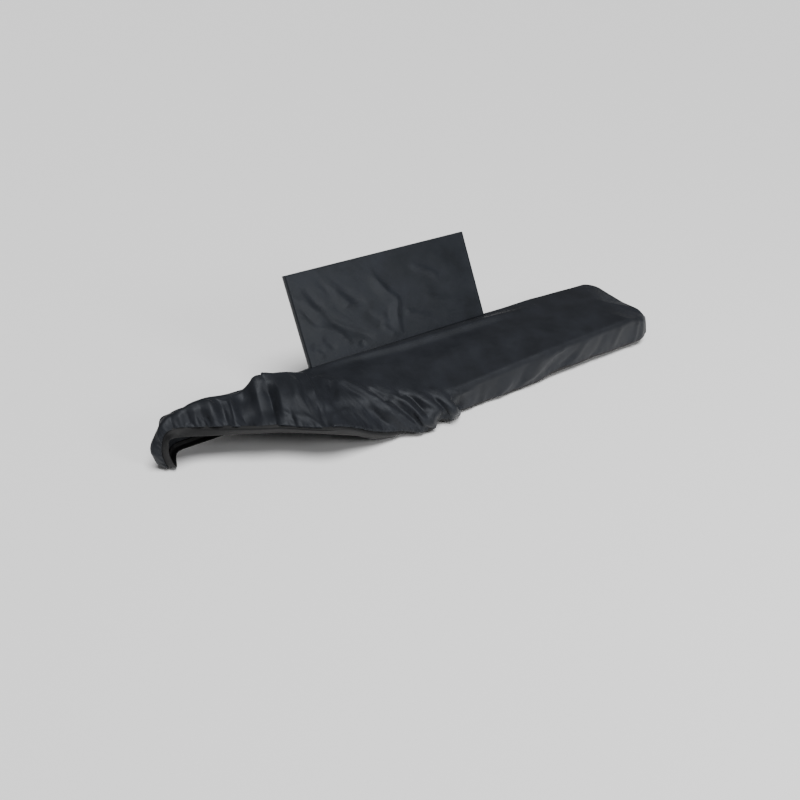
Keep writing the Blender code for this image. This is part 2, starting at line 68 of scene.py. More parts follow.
# Thickness of the cloth and of the elastic
CLOTH_THICKNESS = 0.0012
BAND_THICKNESS = 0.0014

# The line along the middle of the top, from which the cloth runs out to the hem on every side
SPINE_HALF_LENGTH = 0.560
SPINE_STRAIGHT = 0.440
SPINE_DEPTH = 0.110
DECK_HEIGHT = 0.0945
DECK_FRONT_DEPTH = 0.150

# Rounding of the top edge and of the skirt
EDGE_ROUNDING = 0.012
BELLY_ROUNDING = 0.018
BELLY_BULGE = 0.003
ROUNDED_SHARE = 0.46

# The elastic band, which turns in under the piano
BAND_TURN = 0.007
BAND_TUCK = 0.015
BAND_ROUNDING = 0.004
BAND_LOW = -0.002

# The sleeve over the music rest
SLEEVE_LEFT = -0.285
SLEEVE_RIGHT = 0.243
SLEEVE_FOOT = (0.2212, 0.0963)
SLEEVE_TALL = 0.224
SLEEVE_LEAN = math.radians(28.4)
SLEEVE_DEEP = 0.014
SLEEVE_ROUNDING = 0.0035
SLOT_MARGIN = 0.001
SLOT_DROP = 0.009
SLOT_RUN_OUT = 0.03
SLOT_FADE = 0.028

# Where the part's origin lies in the piano's frame
ORIGIN = np.array((0.0, SPINE_DEPTH, 0.084))

# Columns round the outline and rings down the cloth: close together at the lifted corner
FINE_TO = 0.860
FINE_STEP = 0.0021
SKIRT_STEP = 0.0056
CORNER_STEP = 0.0040
COARSE_STEP = 0.0065
RUNS_DOWN = (17, 7, 12, 6, 16)
BAND_RINGS = (0.0, 0.25, 0.5, 0.8, 1.0, 1.33, 1.67, 2.0, 2.25, 2.5, 2.75, 3.0)
HEM_OVERLAP = 0.0030
BAND_SET_IN = 0.0012

# The slot starts just in front of the sleeve, whose cloth runs down through it
SLOT_FROM = 0.978
SLOT_TO = 1.999
SLOT_TOLERANCE = 0.0001
SLEEVE_ROOT = 0.009
ROOT_STEPS = 4
ROOT_SET_IN = 0.0018

# The sleeve's panels: how far back their seam runs, and the steps of their cloth
SEAM_SHARE = 0.86
SLEEVE_EDGE_STEPS = 8
SLEEVE_STEP = 0.0026
SLEEVE_BACK_STEP = 0.0050

# Gathers sewn in along the elastic band, and the wider pleats that run up from it
GATHER_SPACING = 0.0078
GATHER_HEIGHT = 0.0021
GATHER_REACH = 0.010
PLEAT_SPACING = 0.027
PLEAT_HEIGHT = 0.0016
PLEAT_REACH = 0.034

# How far one pucker may differ from the next: its place, height above the hem, depth and slant
PUCKER_SHIFT = 0.35
PUCKER_TALL = (0.55, 1.5)
PUCKER_DEPTH = (0.5, 1.25)
PUCKER_SLANT = 0.35
PUCKER_WIDTH = (0.26, 0.51)
PUCKER_SPAN = 2.5
PUCKER_FLAT_SHARE = 0.45
SEED = 41

# Small creases of creased nylon: how many run across and along a metre, and their lean round the outline
CREASE_ACROSS = 34.0
CREASE_ALONG = 13.0
CREASE_HEIGHT = 0.0010
CREASE_LEAN_AT = (0.05, 0.25, 0.40, 0.60)
CREASE_LEAN = (-0.65, -0.65, 0.35, 0.25)
CREASE_LEAST = 0.02
CREASE_SHARPNESS = 2.6
CREASE_LEVEL = 0.35
COARSE_SHARE = 0.68
FINE_SHARE = 0.32
FINE_ACROSS = 2.3
FINE_ALONG = 1.9
FINE_LAYER = 5.0

# Where the body's cloth is creased: round the outline, down the cloth and on the skirts that hang straight
BUNCHED_FROM = -0.03
BUNCHED_TO = 0.80
BUNCHED_FADE = 0.10
SCRUNCHED_AT = 0.14
SCRUNCHED_WIDTH = 0.09
SCRUNCHED_MORE = 0.5
CREASED_FROM_RING = 0.7
SKIRT_FROM_RING = 1.4
RING_FADE = 0.8
SKIRT_CREASES = 0.30

# Small creases of the sleeve, which lean and die out to the right, and the puckers along its top seam
SLEEVE_CREASE = 0.0003
SLEEVE_CREASE_ACROSS = 34.0
SLEEVE_CREASE_ALONG = 9.0
SLEEVE_CREASE_WAY = (0.75, 0.66)
SLEEVE_FLATTER = 0.75
FLATTER_FROM = 0.3
FLATTER_FADE = 0.4
FOOT_FADE = 0.015
SEAM_PUCKER = 0.0005
SEAM_PUCKER_TURN = 900.0
SEAM_PUCKER_REACH = 0.008
BACK_LINES = 6
BACK_LINE_SHARE = -0.6

# Slow waves in the cloth everywhere
WAVE_SCALE = 14.0
WAVE_HEIGHT = 0.0009

# The run of a fold and its section: flat slopes with a crisp edge and soft feet, in half widths
FOLD_POINTS = 40
FOLD_CUTS = 8
FOLD_REACH = 2.2
FOLD_FADE = 0.3
FOLD_END_SHARE = 0.25
CLOTH_ENDS = (0.0, 5.0)
ROOF_EDGE = 0.006
ROOF_CUT = 0.077
ROOF_RUN = 1.55
ROOF_FOOT = 0.012
LINE_FADE = 0.34

# Places closer than this are made one, and the shortest length that a direction is taken from
MERGE_DISTANCE = 0.00005
TINY = 1e-9

# Stitches that hold the elastic band
STITCH_PITCH = 0.0042
STITCH_LENGTH = 0.0030
STITCH_RADIUS = 0.00022
STITCH_SECTIONS = ((0.0, 0.3), (0.5, 1.6), (1.0, 0.3))

# Materials: dark and light shades of the nylon on the body and the sleeve, its gloss and its threads
BODY_DARK = (0.0085, 0.0095, 0.0120)
BODY_LIGHT = (0.0135, 0.0150, 0.0190)
BODY_ROUGHNESS = 0.50
SLEEVE_DARK = (0.0085, 0.0100, 0.0125)
SLEEVE_LIGHT = (0.0135, 0.0155, 0.0200)
SLEEVE_ROUGHNESS = 0.42
THREADS_PER_METRE = 1600.0
WAVE_SCALE_PER_BAND = math.pi / 10

# Light and floor
KEY_PLACE = (0.55, -2.70, 1.46)
KEY_SIZE = 0.8
KEY_POWER = 30.0
ABOVE = (0.0, -0.30, 0.95)
ABOVE_SPREAD = 34.0
ABOVE_STRENGTH = 2.6
FILL_STRENGTH = 1.6
SURROUND_STRENGTH = 0.12
FLOOR_SIZE = 80.0
FLOOR_DROP = 0.0015

# The camera, in the piano's frame: its place, tilt and lens
CAMERA_PLACE = np.array((-1.1172, -1.3212, 1.0727))
CAMERA_TURN = (58.6356, -0.3523, -34.9821)
CAMERA_LENS = 38.219
SENSOR = 36.0

# Lengths round the outline, from the middle of the front towards the left end
SIDE = HALF_LENGTH - CORNER_RADIUS
END = DEPTH - 2 * CORNER_RADIUS
QUARTER = math.pi / 2 * CORNER_RADIUS
PERIMETER = 4 * SIDE + 2 * END + 4 * QUARTER
BACK_FROM = SIDE + QUARTER + END + QUARTER

Spine = namedtuple("Spine", "x depth half_width")
Edge = namedtuple("Edge", "at height hem drawn_in flare")
Section = namedtuple("Section", "at crest belly hem band")
Fold = namedtuple("Fold", "at down to_at to_down bend height near far")
Line = namedtuple("Line", "points height left right")

# Where the spine runs: back out of the way of the folds at the lifted corner
SPINE = (
    Spine(-0.560, 0.216, 0.004),
    Spine(-0.440, 0.216, 0.004),
    Spine(-0.340, 0.211, 0.005),
    Spine(-0.280, 0.197, 0.006),
    Spine(-0.200, 0.166, 0.008),
    Spine(-0.120, 0.130, 0.010),
    Spine(-0.040, 0.112, 0.012),
    Spine(0.560, 0.110, 0.012),
)

# Height of the top edge and of the hem, and how far the top edge is drawn in and the hem stands out, at
# places round the outline; at counts from the middle of the front
EDGES = (
    Edge(-1.600, 0.0945, 0.008, 0.000, 0.000),
    Edge(-1.100, 0.0930, 0.008, 0.000, 0.000),
    Edge(-0.900, 0.0890, 0.008, 0.006, 0.000),
    Edge(-0.860, 0.0850, 0.009, 0.010, 0.000),
    Edge(-0.800, 0.0780, 0.013, 0.010, 0.002),
    Edge(-0.740, 0.0710, 0.020, 0.008, 0.004),
    Edge(-0.690, 0.0690, 0.023, 0.004, 0.005),
    Edge(-0.660, 0.0620, 0.021, 0.006, 0.005),
    Edge(-0.615, 0.0680, 0.010, 0.004, 0.003),
    Edge(-0.566, 0.0800, 0.007, 0.000, 0.000),
    Edge(-0.500, 0.0780, 0.007, 0.000, 0.000),
    Edge(-0.440, 0.0765, 0.010, 0.000, 0.000),
    Edge(-0.380, 0.0750, 0.008, 0.000, 0.000),
    Edge(-0.290, 0.0735, 0.008, 0.000, 0.000),
    Edge(-0.250, 0.0725, 0.002, 0.000, 0.002),
    Edge(-0.147, 0.0680, 0.000, 0.000, 0.002),
    Edge(-0.098, 0.0650, 0.001, 0.000, 0.000),
    Edge(-0.005, 0.0600, 0.001, 0.000, 0.002),
    Edge(0.070, 0.0570, 0.002, 0.000, 0.000),
    Edge(0.700, 0.0700, 0.008, 0.000, 0.000),
    Edge(0.850, 0.0920, 0.008, 0.000, 0.000),
    Edge(0.900, 0.0945, 0.008, 0.000, 0.000),
    Edge(1.600, 0.0945, 0.008, 0.000, 0.000),
)

# The pulled-up corner in sections round the outline: the points each passes from its crest down to the band
LIFTED = (
    Section(0.055, (-0.054, 0.014, 0.064), (-0.057, -0.034, 0.032),
            (-0.055, -0.026, 0.002), (-0.054, -0.004, -0.006)),
    Section(0.088, (-0.086, 0.020, 0.066), (-0.086, -0.022, 0.040),
            (-0.084, -0.014, 0.008), (-0.084, 0.002, -0.003)),
    Section(0.120, (-0.118, 0.026, 0.070), (-0.120, -0.036, 0.032),
            (-0.116, -0.030, 0.000), (-0.114, -0.006, -0.006)),
    Section(0.175, (-0.176, 0.050, 0.078), (-0.172, -0.002, 0.050),
            (-0.168, -0.010, 0.006), (-0.170, -0.003, -0.002)),
    Section(0.225, (-0.224, 0.090, 0.092), (-0.218, 0.026, 0.072),
            (-0.222, -0.009, 0.020), (-0.222, -0.004, 0.001)),
    Section(0.270, (-0.270, 0.136, 0.102), (-0.266, 0.060, 0.090),
            (-0.270, -0.009, 0.040), (-0.268, -0.004, 0.018)),
    Section(0.310, (-0.308, 0.180, 0.109), (-0.310, 0.090, 0.100),
            (-0.309, -0.008, 0.062), (-0.306, -0.003, 0.039)),
    Section(0.345, (-0.345, 0.193, 0.121), (-0.346, 0.104, 0.110),
            (-0.345, -0.006, 0.078), (-0.345, -0.003, 0.056)),
    Section(0.370, (-0.370, 0.195, 0.130), (-0.371, 0.112, 0.114),
            (-0.370, 0.001, 0.079), (-0.371, 0.014, 0.059)),
    Section(0.400, (-0.400, 0.196, 0.137), (-0.400, 0.118, 0.118),
            (-0.400, 0.024, 0.079), (-0.405, 0.041, 0.059)),
    Section(0.425, (-0.425, 0.196, 0.146), (-0.425, 0.122, 0.120),
            (-0.424, 0.046, 0.079), (-0.427, 0.058, 0.059)),
    Section(0.448, (-0.446, 0.196, 0.146), (-0.450, 0.128, 0.117),
            (-0.449, 0.066, 0.080), (-0.451, 0.076, 0.059)),
    Section(0.485, (-0.484, 0.197, 0.116), (-0.484, 0.140, 0.104),
            (-0.482, 0.084, 0.080), (-0.484, 0.094, 0.059)),
    Section(0.515, (-0.515, 0.198, 0.118), (-0.512, 0.152, 0.108),
            (-0.509, 0.101, 0.080), (-0.514, 0.112, 0.059)),
    Section(0.545, (-0.545, 0.198, 0.123), (-0.542, 0.164, 0.112),
            (-0.539, 0.122, 0.080), (-0.543, 0.128, 0.059)),
    Section(0.580, (-0.580, 0.199, 0.124), (-0.576, 0.174, 0.115),
            (-0.572, 0.144, 0.081), (-0.580, 0.146, 0.060)),
    Section(0.615, (-0.612, 0.200, 0.117), (-0.610, 0.184, 0.112),
            (-0.606, 0.161, 0.083), (-0.616, 0.160, 0.064)),
    Section(0.645, (-0.634, 0.202, 0.109), (-0.640, 0.188, 0.105),
            (-0.640, 0.173, 0.087), (-0.646, 0.157, 0.074)),
    Section(0.672, (-0.645, 0.205, 0.104), (-0.669, 0.190, 0.096),
            (-0.664, 0.176, 0.080), (-0.663, 0.157, 0.074)),
    Section(0.700, (-0.650, 0.208, 0.101), (-0.687, 0.190, 0.074),
            (-0.675, 0.174, 0.058), (-0.667, 0.160, 0.056)),
    Section(0.730, (-0.653, 0.212, 0.098), (-0.697, 0.190, 0.040),
            (-0.678, 0.174, 0.032), (-0.667, 0.162, 0.034)),
    Section(0.765, (-0.655, 0.217, 0.096), (-0.696, 0.192, 0.006),
            (-0.672, 0.172, 0.002), (-0.660, 0.160, 0.006)),
    Section(0.805, (-0.656, 0.222, 0.095), (-0.684, 0.206, 0.008),
            (-0.664, 0.188, -0.006), (-0.652, 0.172, -0.006)),
)

# Where the plain cloth on either side of the lifted sections begins
RUN_IN = (-0.040, 0.015)
RUN_OUT = (0.875, 0.930)

# Folds of the body panel. Each runs from one place on the cloth to another, bowed sideways by bend; at counts
# round the outline and down from 0 at the spine through 1.5 at the crest and 3.5 at the belly to 5 at the
# hem. A ridge has a height above 0 and a trough one below; near and far are its half widths on the side of
# lower and higher at.
FOLDS = (
    Fold(0.610, 3.2, 0.622, 4.9, 0.000, -0.0045, 0.008, 0.008),
    Fold(0.598, 3.0, 0.604, 5.0, 0.000, 0.0040, 0.009, 0.010),
    Fold(0.590, 3.5, 0.590, 5.0, 0.000, -0.0050, 0.009, 0.009),
    Fold(0.556, 2.0, 0.574, 5.0, 0.000, 0.0050, 0.012, 0.012),
    Fold(0.532, 2.6, 0.552, 5.0, 0.000, -0.0060, 0.011, 0.012),
    Fold(0.512, 2.4, 0.536, 5.0, 0.000, 0.0045, 0.009, 0.009),
    Fold(0.472, 1.4, 0.518, 5.0, 0.004, -0.0075, 0.013, 0.014),
    Fold(0.455, 2.1, 0.476, 4.9, 0.000, 0.0090, 0.032, 0.010),
    Fold(0.424, 2.2, 0.452, 4.8, 0.000, -0.0260, 0.012, 0.046),
    Fold(0.352, 2.0, 0.408, 4.6, 0.000, 0.0060, 0.012, 0.012),
    Fold(0.440, 4.2, 0.446, 5.0, 0.000, 0.0040, 0.008, 0.008),
    Fold(0.300, 0.9, 0.330, 3.6, 0.000, -0.0090, 0.013, 0.012),
    Fold(0.324, 1.4, 0.352, 4.2, 0.000, 0.0070, 0.009, 0.012),
    Fold(0.282, 1.8, 0.320, 4.4, 0.000, -0.0080, 0.010, 0.010),
    Fold(0.336, 4.2, 0.372, 5.0, 0.000, -0.0055, 0.010, 0.010),
    Fold(0.258, 1.8, 0.226, 3.4, -0.012, 0.0090, 0.011, 0.013),
    Fold(0.226, 3.4, 0.154, 5.0, 0.004, 0.0090, 0.011, 0.013),
    Fold(0.214, 1.2, 0.206, 3.0, -0.012, -0.0090, 0.014, 0.012),
    Fold(0.262, 3.9, 0.216, 4.6, 0.004, -0.0060, 0.010, 0.012),
    Fold(0.190, 2.4, 0.156, 4.3, -0.004, -0.0075, 0.010, 0.010),
    Fold(0.168, 1.8, 0.134, 4.8, -0.004, 0.0070, 0.010, 0.011),
    Fold(0.158, 1.0, 0.128, 3.4, -0.010, -0.0070, 0.011, 0.011),
    Fold(0.120, 1.6, 0.084, 4.4, -0.006, 0.0075, 0.011, 0.012),
    Fold(0.100, 2.2, 0.060, 4.6, -0.002, -0.0070, 0.010, 0.011),
    Fold(0.078, 1.6, 0.030, 5.0, -0.004, 0.0070, 0.011, 0.012),
    Fold(0.050, 2.4, 0.006, 4.6, 0.000, -0.0050, 0.012, 0.012),
    Fold(-0.300, 1.6, -0.178, 4.6, 0.000, 0.0040, 0.018, 0.018),
    Fold(-0.330, 3.2, -0.250, 4.2, 0.000, -0.0035, 0.018, 0.018),
    Fold(-0.374, 3.2, -0.310, 4.6, 0.000, -0.0035, 0.018, 0.018),
    Fold(-0.140, 3.2, -0.100, 5.0, 0.000, 0.0035, 0.018, 0.018),
    Fold(1.240, 0.8, 1.900, 0.68, 0.000, 0.0085, 0.014, 0.014),
)

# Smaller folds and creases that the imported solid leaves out, in the same columns
FINE_FOLDS = (
    Fold(0.648, 3.0, 0.652, 5.0, 0.000, -0.0026, 0.005, 0.005),
    Fold(0.630, 3.0, 0.636, 5.0, 0.000, 0.0028, 0.006, 0.006),
    Fold(0.602, 3.3, 0.594, 4.9, 0.000, -0.0032, 0.005, 0.006),
    Fold(0.584, 3.9, 0.573, 4.8, 0.000, -0.0028, 0.004, 0.005),
    Fold(0.560, 2.6, 0.566, 4.6, 0.000, 0.0024, 0.008, 0.008),
    Fold(0.522, 2.5, 0.538, 4.9, -0.002, -0.0034, 0.005, 0.005),
    Fold(0.498, 2.4, 0.510, 4.8, 0.004, -0.0030, 0.008, 0.010),
    Fold(0.440, 4.3, 0.400, 4.7, 0.004, 0.0028, 0.006, 0.006),
    Fold(0.418, 4.3, 0.424, 4.9, 0.000, -0.0026, 0.004, 0.005),
    Fold(0.398, 4.5, 0.380, 4.95, 0.000, 0.0028, 0.004, 0.005),
    Fold(0.374, 2.3, 0.383, 4.7, 0.002, 0.0040, 0.010, 0.006),
    Fold(0.350, 4.2, 0.372, 4.9, 0.000, -0.0040, 0.004, 0.005),
    Fold(0.350, 4.72, 0.288, 4.25, 0.000, 0.0030, 0.005, 0.005),
    Fold(0.316, 2.0, 0.330, 4.0, 0.000, -0.0034, 0.008, 0.007),
    Fold(0.286, 2.5, 0.322, 4.2, 0.000, -0.0030, 0.005, 0.005),
    Fold(0.272, 1.0, 0.228, 3.2, -0.002, 0.0060, 0.006, 0.009),
    Fold(0.244, 3.9, 0.226, 4.5, 0.004, -0.0040, 0.005, 0.005),
    Fold(0.228, 2.8, 0.166, 4.2, 0.004, 0.0048, 0.006, 0.007),
    Fold(0.222, 1.4, 0.202, 2.6, 0.000, -0.0090, 0.009, 0.008),
    Fold(0.214, 2.9, 0.170, 3.7, -0.010, -0.0040, 0.004, 0.005),
    Fold(0.194, 3.5, 0.138, 4.9, 0.002, 0.0045, 0.006, 0.008),
    Fold(0.164, 3.2, 0.122, 5.0, 0.000, -0.0048, 0.006, 0.006),
    Fold(0.158, 1.1, 0.153, 1.9, 0.000, -0.0045, 0.006, 0.006),
    Fold(0.140, 1.3, 0.078, 4.6, -0.004, 0.0050, 0.006, 0.008),
    Fold(0.122, 2.2, 0.070, 4.9, 0.000, -0.0050, 0.006, 0.006),
    Fold(0.094, 1.7, 0.016, 5.0, 0.002, 0.0050, 0.006, 0.007),
    Fold(0.060, 2.4, 0.010, 4.4, 0.000, -0.0036, 0.006, 0.006),
    Fold(0.040, 1.6, -0.030, 3.0, 0.000, 0.0024, 0.006, 0.006),
    Fold(0.020, 2.4, -0.020, 5.0, 0.000, 0.0020, 0.008, 0.008),
    Fold(-0.060, 2.2, -0.040, 5.0, 0.000, -0.0018, 0.010, 0.012),
    Fold(-0.150, 3.4, -0.112, 5.0, 0.000, 0.0026, 0.006, 0.007),
    Fold(-0.190, 3.0, -0.160, 5.0, 0.000, -0.0022, 0.009, 0.009),
    Fold(-0.258, 3.4, -0.178, 4.6, 0.000, 0.0024, 0.006, 0.007),
    Fold(-0.334, 1.6, -0.258, 3.4, 0.000, 0.0026, 0.006, 0.008),
    Fold(-0.374, 3.4, -0.314, 4.5, 0.000, -0.0026, 0.008, 0.008),
    Fold(-0.420, 2.0, -0.350, 4.8, 0.000, 0.0020, 0.008, 0.009),
    Fold(-0.480, 2.2, -0.430, 5.0, 0.000, -0.0018, 0.010, 0.010),
    Fold(-0.540, 2.0, -0.500, 4.6, 0.000, 0.0020, 0.009, 0.009),
    Fold(-0.600, 1.8, -0.590, 5.0, 0.000, 0.0026, 0.006, 0.006),
    Fold(-0.640, 1.6, -0.632, 5.0, 0.000, -0.0024, 0.006, 0.006),
    Fold(-0.664, 1.6, -0.668, 5.0, 0.000, 0.0028, 0.006, 0.006),
    Fold(1.220, 0.84, 1.880, 0.66, 0.000, 0.0042, 0.010, 0.008),
    Fold(1.300, 0.96, 1.760, 0.86, 0.000, 0.0026, 0.006, 0.006),
    Fold(0.720, 2.0, 0.735, 4.4, 0.000, 0.0035, 0.008, 0.008),
    Fold(0.700, 2.4, 0.705, 4.6, 0.000, -0.0030, 0.007, 0.007),
    Fold(0.760, 2.0, 0.780, 4.6, 0.000, -0.0028, 0.010, 0.010),
)

# Creases of the sleeve's front: the points that each passes, across from the middle of the piano and up the
# panel, how far it stands out and its half widths on its left and right
SLEEVE_LINES = (
    Line(((-0.256, 0.195), (-0.237, 0.169), (-0.223, 0.141), (-0.206, 0.123)), -0.0017, 0.011, 0.009),
    Line(((-0.263, 0.175), (-0.237, 0.134), (-0.202, 0.093)), 0.0014, 0.013, 0.009),
    Line(((-0.225, 0.120), (-0.185, 0.081), (-0.126, 0.044), (-0.092, 0.016)), -0.0021, 0.012, 0.010),
    Line(((-0.170, 0.164), (-0.143, 0.147), (-0.117, 0.126), (-0.088, 0.108)), -0.0018, 0.013, 0.011),
    Line(((-0.193, 0.184), (-0.164, 0.159), (-0.142, 0.125), (-0.137, 0.113)), 0.0017, 0.014, 0.011),
    Line(((-0.066, 0.201), (-0.052, 0.163), (-0.031, 0.128), (-0.008, 0.099), (-0.018, 0.068),
          (-0.021, 0.030), (-0.015, 0.010)), 0.0040, 0.017, 0.008),
    Line(((-0.235, 0.065), (-0.204, 0.024)), -0.0015, 0.009, 0.009),
    Line(((-0.272, 0.054), (-0.235, 0.027)), -0.0014, 0.009, 0.008),
    Line(((-0.255, 0.094), (-0.210, 0.074), (-0.163, 0.045)), 0.0014, 0.010, 0.010),
    Line(((-0.140, 0.029), (-0.128, 0.011)), -0.0013, 0.008, 0.007),
    Line(((-0.072, 0.057), (-0.052, 0.032), (-0.029, 0.008)), 0.0015, 0.009, 0.008),
    Line(((0.054, 0.182), (0.073, 0.165), (0.118, 0.139), (0.130, 0.116)), 0.0014, 0.010, 0.009),
    Line(((0.002, 0.073), (0.030, 0.053), (0.084, 0.034)), 0.0015, 0.011, 0.010),
    Line(((-0.269, 0.150), (-0.250, 0.110), (-0.226, 0.082)), -0.0010, 0.007, 0.006),
    Line(((-0.215, 0.200), (-0.190, 0.170), (-0.178, 0.140)), -0.0008, 0.009, 0.008),
    Line(((-0.262, 0.040), (-0.240, 0.014)), 0.0010, 0.006, 0.006),
    Line(((-0.190, 0.060), (-0.160, 0.026)), 0.0010, 0.008, 0.007),
    Line(((-0.110, 0.100), (-0.080, 0.070), (-0.056, 0.046)), -0.0010, 0.010, 0.009),
    Line(((-0.040, 0.090), (-0.044, 0.050)), -0.0010, 0.009, 0.007),
    Line(((0.060, 0.100), (0.120, 0.070), (0.200, 0.052)), 0.0007, 0.014, 0.012),
    Line(((0.100, 0.030), (0.200, 0.024)), 0.0007, 0.010, 0.010),
    Line(((0.120, 0.190), (0.180, 0.150)), 0.0006, 0.014, 0.012),
)


def mix(a, b, share):
    """The value that lies that share of the way from a to b."""
    return a + (b - a) * share


def soft_step(x):
    """0 below 0 and 1 above 1, with a smooth rise between."""
    x = np.clip(x, 0.0, 1.0)
    return x * x * (3.0 - 2.0 * x)


def unit(vector):
    return vector / np.linalg.norm(vector)


def signed_place(at):
    """A place round the outline counted either way from the middle of the front, at most half way round."""
    return (at + PERIMETER / 2) % PERIMETER - PERIMETER / 2


def outline(at):
    """Place and outward direction on the rounded outline, so far round from the middle of the front."""
    at = at % PERIMETER
    middle = SIDE + QUARTER + END / 2
    if at > PERIMETER / 2:
        place, out = outline(PERIMETER - at)
        return place * (-1.0, 1.0), out * (-1.0, 1.0)
    if at > middle:
        place, out = outline(2 * middle - at)
        return np.array((place[0], DEPTH - place[1])), out * (1.0, -1.0)
    if at < SIDE:
        return np.array((-at, 0.0)), np.array((0.0, -1.0))
    turn = min((at - SIDE) / CORNER_RADIUS, math.pi / 2)
    out = np.array((-math.sin(turn), -math.cos(turn)))
    place = np.array((-SIDE, CORNER_RADIUS)) + out * CORNER_RADIUS
    return place + (0.0, max(0.0, at - SIDE - QUARTER)), out


def spine(at):
    """The point of the spine loop from which the column at that place round the outline starts."""
    place, out = outline(at)
    x = np.interp(place[0], (-SIDE, -SPINE_STRAIGHT, SPINE_STRAIGHT, SIDE),
                  (-SPINE_HALF_LENGTH, -SPINE_STRAIGHT, SPINE_STRAIGHT, SPINE_HALF_LENGTH))
    known = [row.x for row in SPINE]
    width = np.interp(x, known, [row.half_width for row in SPINE])
    y = np.interp(x, known, [row.depth for row in SPINE]) + out[1] * width
    front = edge_at(-x).height
    z = min(DECK_HEIGHT, mix(front, DECK_HEIGHT, y / DECK_FRONT_DEPTH))
    return np.array((x + out[0] * width, y, z))


def edge_at(at):
    """The row of EDGES for any place round the outline."""
    signed = signed_place(at)
    known = [row.at for row in EDGES]
    return Edge(*(np.interp(signed, known, values) for values in zip(*EDGES)))


def plain_section(at):
    """Crest, belly, hem and band end of a section where the cloth hangs straight over the piano's edge."""
    place, out = outline(at)
    edge = edge_at(at)
    crest = (*(place - out * edge.drawn_in), edge.height)
    bulge = BELLY_BULGE + edge.flare / 2 - edge.drawn_in / 2
    belly = (*(place + out * bulge), mix(edge.hem, edge.height, 0.5))
    foot = (*(place + out * edge.flare), edge.hem)
    band = (*(place - out * BAND_TUCK), edge.hem - BAND_TURN + BAND_LOW)
    return np.array((crest, belly, foot, band))


def lifted_rows():
    """The table of lifted sections, with a plain section on either side of it to run out into."""
    rows = [(at, plain_section(at)) for at in RUN_IN]
    rows += [(row.at, np.array((row.crest, row.belly, row.hem, row.band))) for row in LIFTED]
    rows += [(at, plain_section(at)) for at in RUN_OUT]
    return rows


def section(at):
    """Crest, belly, hem and band end at any place round the outline, passing smoothly through the rows."""
    rows = lifted_rows()
    signed = signed_place(at)
    places = [row[0] for row in rows]
    if not places[1] < signed < places[-2]:
        return plain_section(at)
    i = int(np.searchsorted(places, signed)) - 1
    (p0, a), (p1, b), (p2, c), (p3, d) = rows[i - 1:i + 3]
    span = p2 - p1
    t = (signed - p1) / span
    leave = (c - a) / (p2 - p0) * span
    arrive = (d - b) / (p3 - p1) * span
    return (b * (2 * t**3 - 3 * t**2 + 1) + leave * (t**3 - 2 * t**2 + t)
            + c * (3 * t**2 - 2 * t**3) + arrive * (t**3 - t**2))


def rounded_path(points, rounding, down):
    """Places on a path through points with each inner corner rounded.

    Every straight run and every corner takes one unit of down, from 0 at the first point.
    """
    stops = [points[0]]
    for before, corner, after, radii in zip(points, points[1:], points[2:], rounding):
        for other, radius in ((before, radii[0]), (after, radii[1])):
            away = other - corner
            length = np.linalg.norm(away)
            stops.append(corner + away / length * min(radius, ROUNDED_SHARE * length))
    stops.append(points[-1])
    placed = []
    for value in down:
        i = min(int(value), len(stops) - 2)
        t = value - i
        straight = mix(stops[i], stops[i + 1], t)
        if i % 2:
            corner = points[(i + 1) // 2]
            straight = mix(mix(stops[i], corner, t), mix(corner, stops[i + 1], t), t)
        placed.append(straight)
    return np.array(placed)


def in_slot(x):
    """1 over the slot under the sleeve, falling to 0 a little way beyond its ends."""
    after_left = soft_step((x - SLEEVE_LEFT + SLOT_RUN_OUT) / SLOT_FADE)
    before_right = soft_step((SLEEVE_RIGHT + SLOT_RUN_OUT - x) / SLOT_FADE)
    return after_left * before_right


def body_column(at, down):
    """Places down one column of the body panel, before its folds."""
    crest, belly, hem, _ = section(at)
    slot = in_slot(crest[0]) if crest[1] > DEPTH / 2 and at % PERIMETER > BACK_FROM else 0.0
    edge = (EDGE_ROUNDING, mix(EDGE_ROUNDING, SLOT_DROP, slot))
    points = [spine(at), crest, belly, hem]
    return rounded_path(points, (edge, (BELLY_ROUNDING, BELLY_ROUNDING)), down)


def fold_curve(fold):
    """Places in the grid along the run of one fold, and how far each keeps of the fold's full height."""
    share = np.linspace(0.0, 1.0, FOLD_POINTS)
    at = mix(fold.at, fold.to_at, share) + fold.bend * 4 * share * (1 - share)
    down = mix(fold.down, fold.to_down, share)
    start = 1.0 if fold.down in CLOTH_ENDS else FOLD_END_SHARE
    finish = 1.0 if fold.to_down in CLOTH_ENDS else FOLD_END_SHARE
    grown = mix(start, 1.0, soft_step(share / FOLD_FADE))
    left = mix(finish, 1.0, soft_step((1 - share) / FOLD_FADE))
    return at, down, grown * left


def surface_normals(grid, closed):
    """Outward directions at every place of a grid of columns and rings."""
    if closed:
        across = np.roll(grid, -1, axis=0) - np.roll(grid, 1, axis=0)
    else:
        across = np.gradient(grid, axis=0)
    along = np.gradient(grid, axis=1)
    normal = np.cross(across, along)
    return normal / np.maximum(np.linalg.norm(normal, axis=2, keepdims=True), TINY)


def grid_of(columns, rings, place):
    return np.array([place(at, rings) for at in columns])


def sleeve_place(x, up, back):
    """The place of a point of the sleeve: across, up its slope and back from its front."""
    lean = SLEEVE_LEAN
    y = SLEEVE_FOOT[0] + up * math.sin(lean) + back * math.cos(lean)
    z = SLEEVE_FOOT[1] + up * math.cos(lean) - back * math.sin(lean)
    return (x, y, z)


def edge_steps(rounding, count):
    """Distances in from an edge that follow its rounding, from the edge itself inwards."""
    return [rounding * (1 - math.cos(math.pi / 2 * i / count)) for i in range(count)]


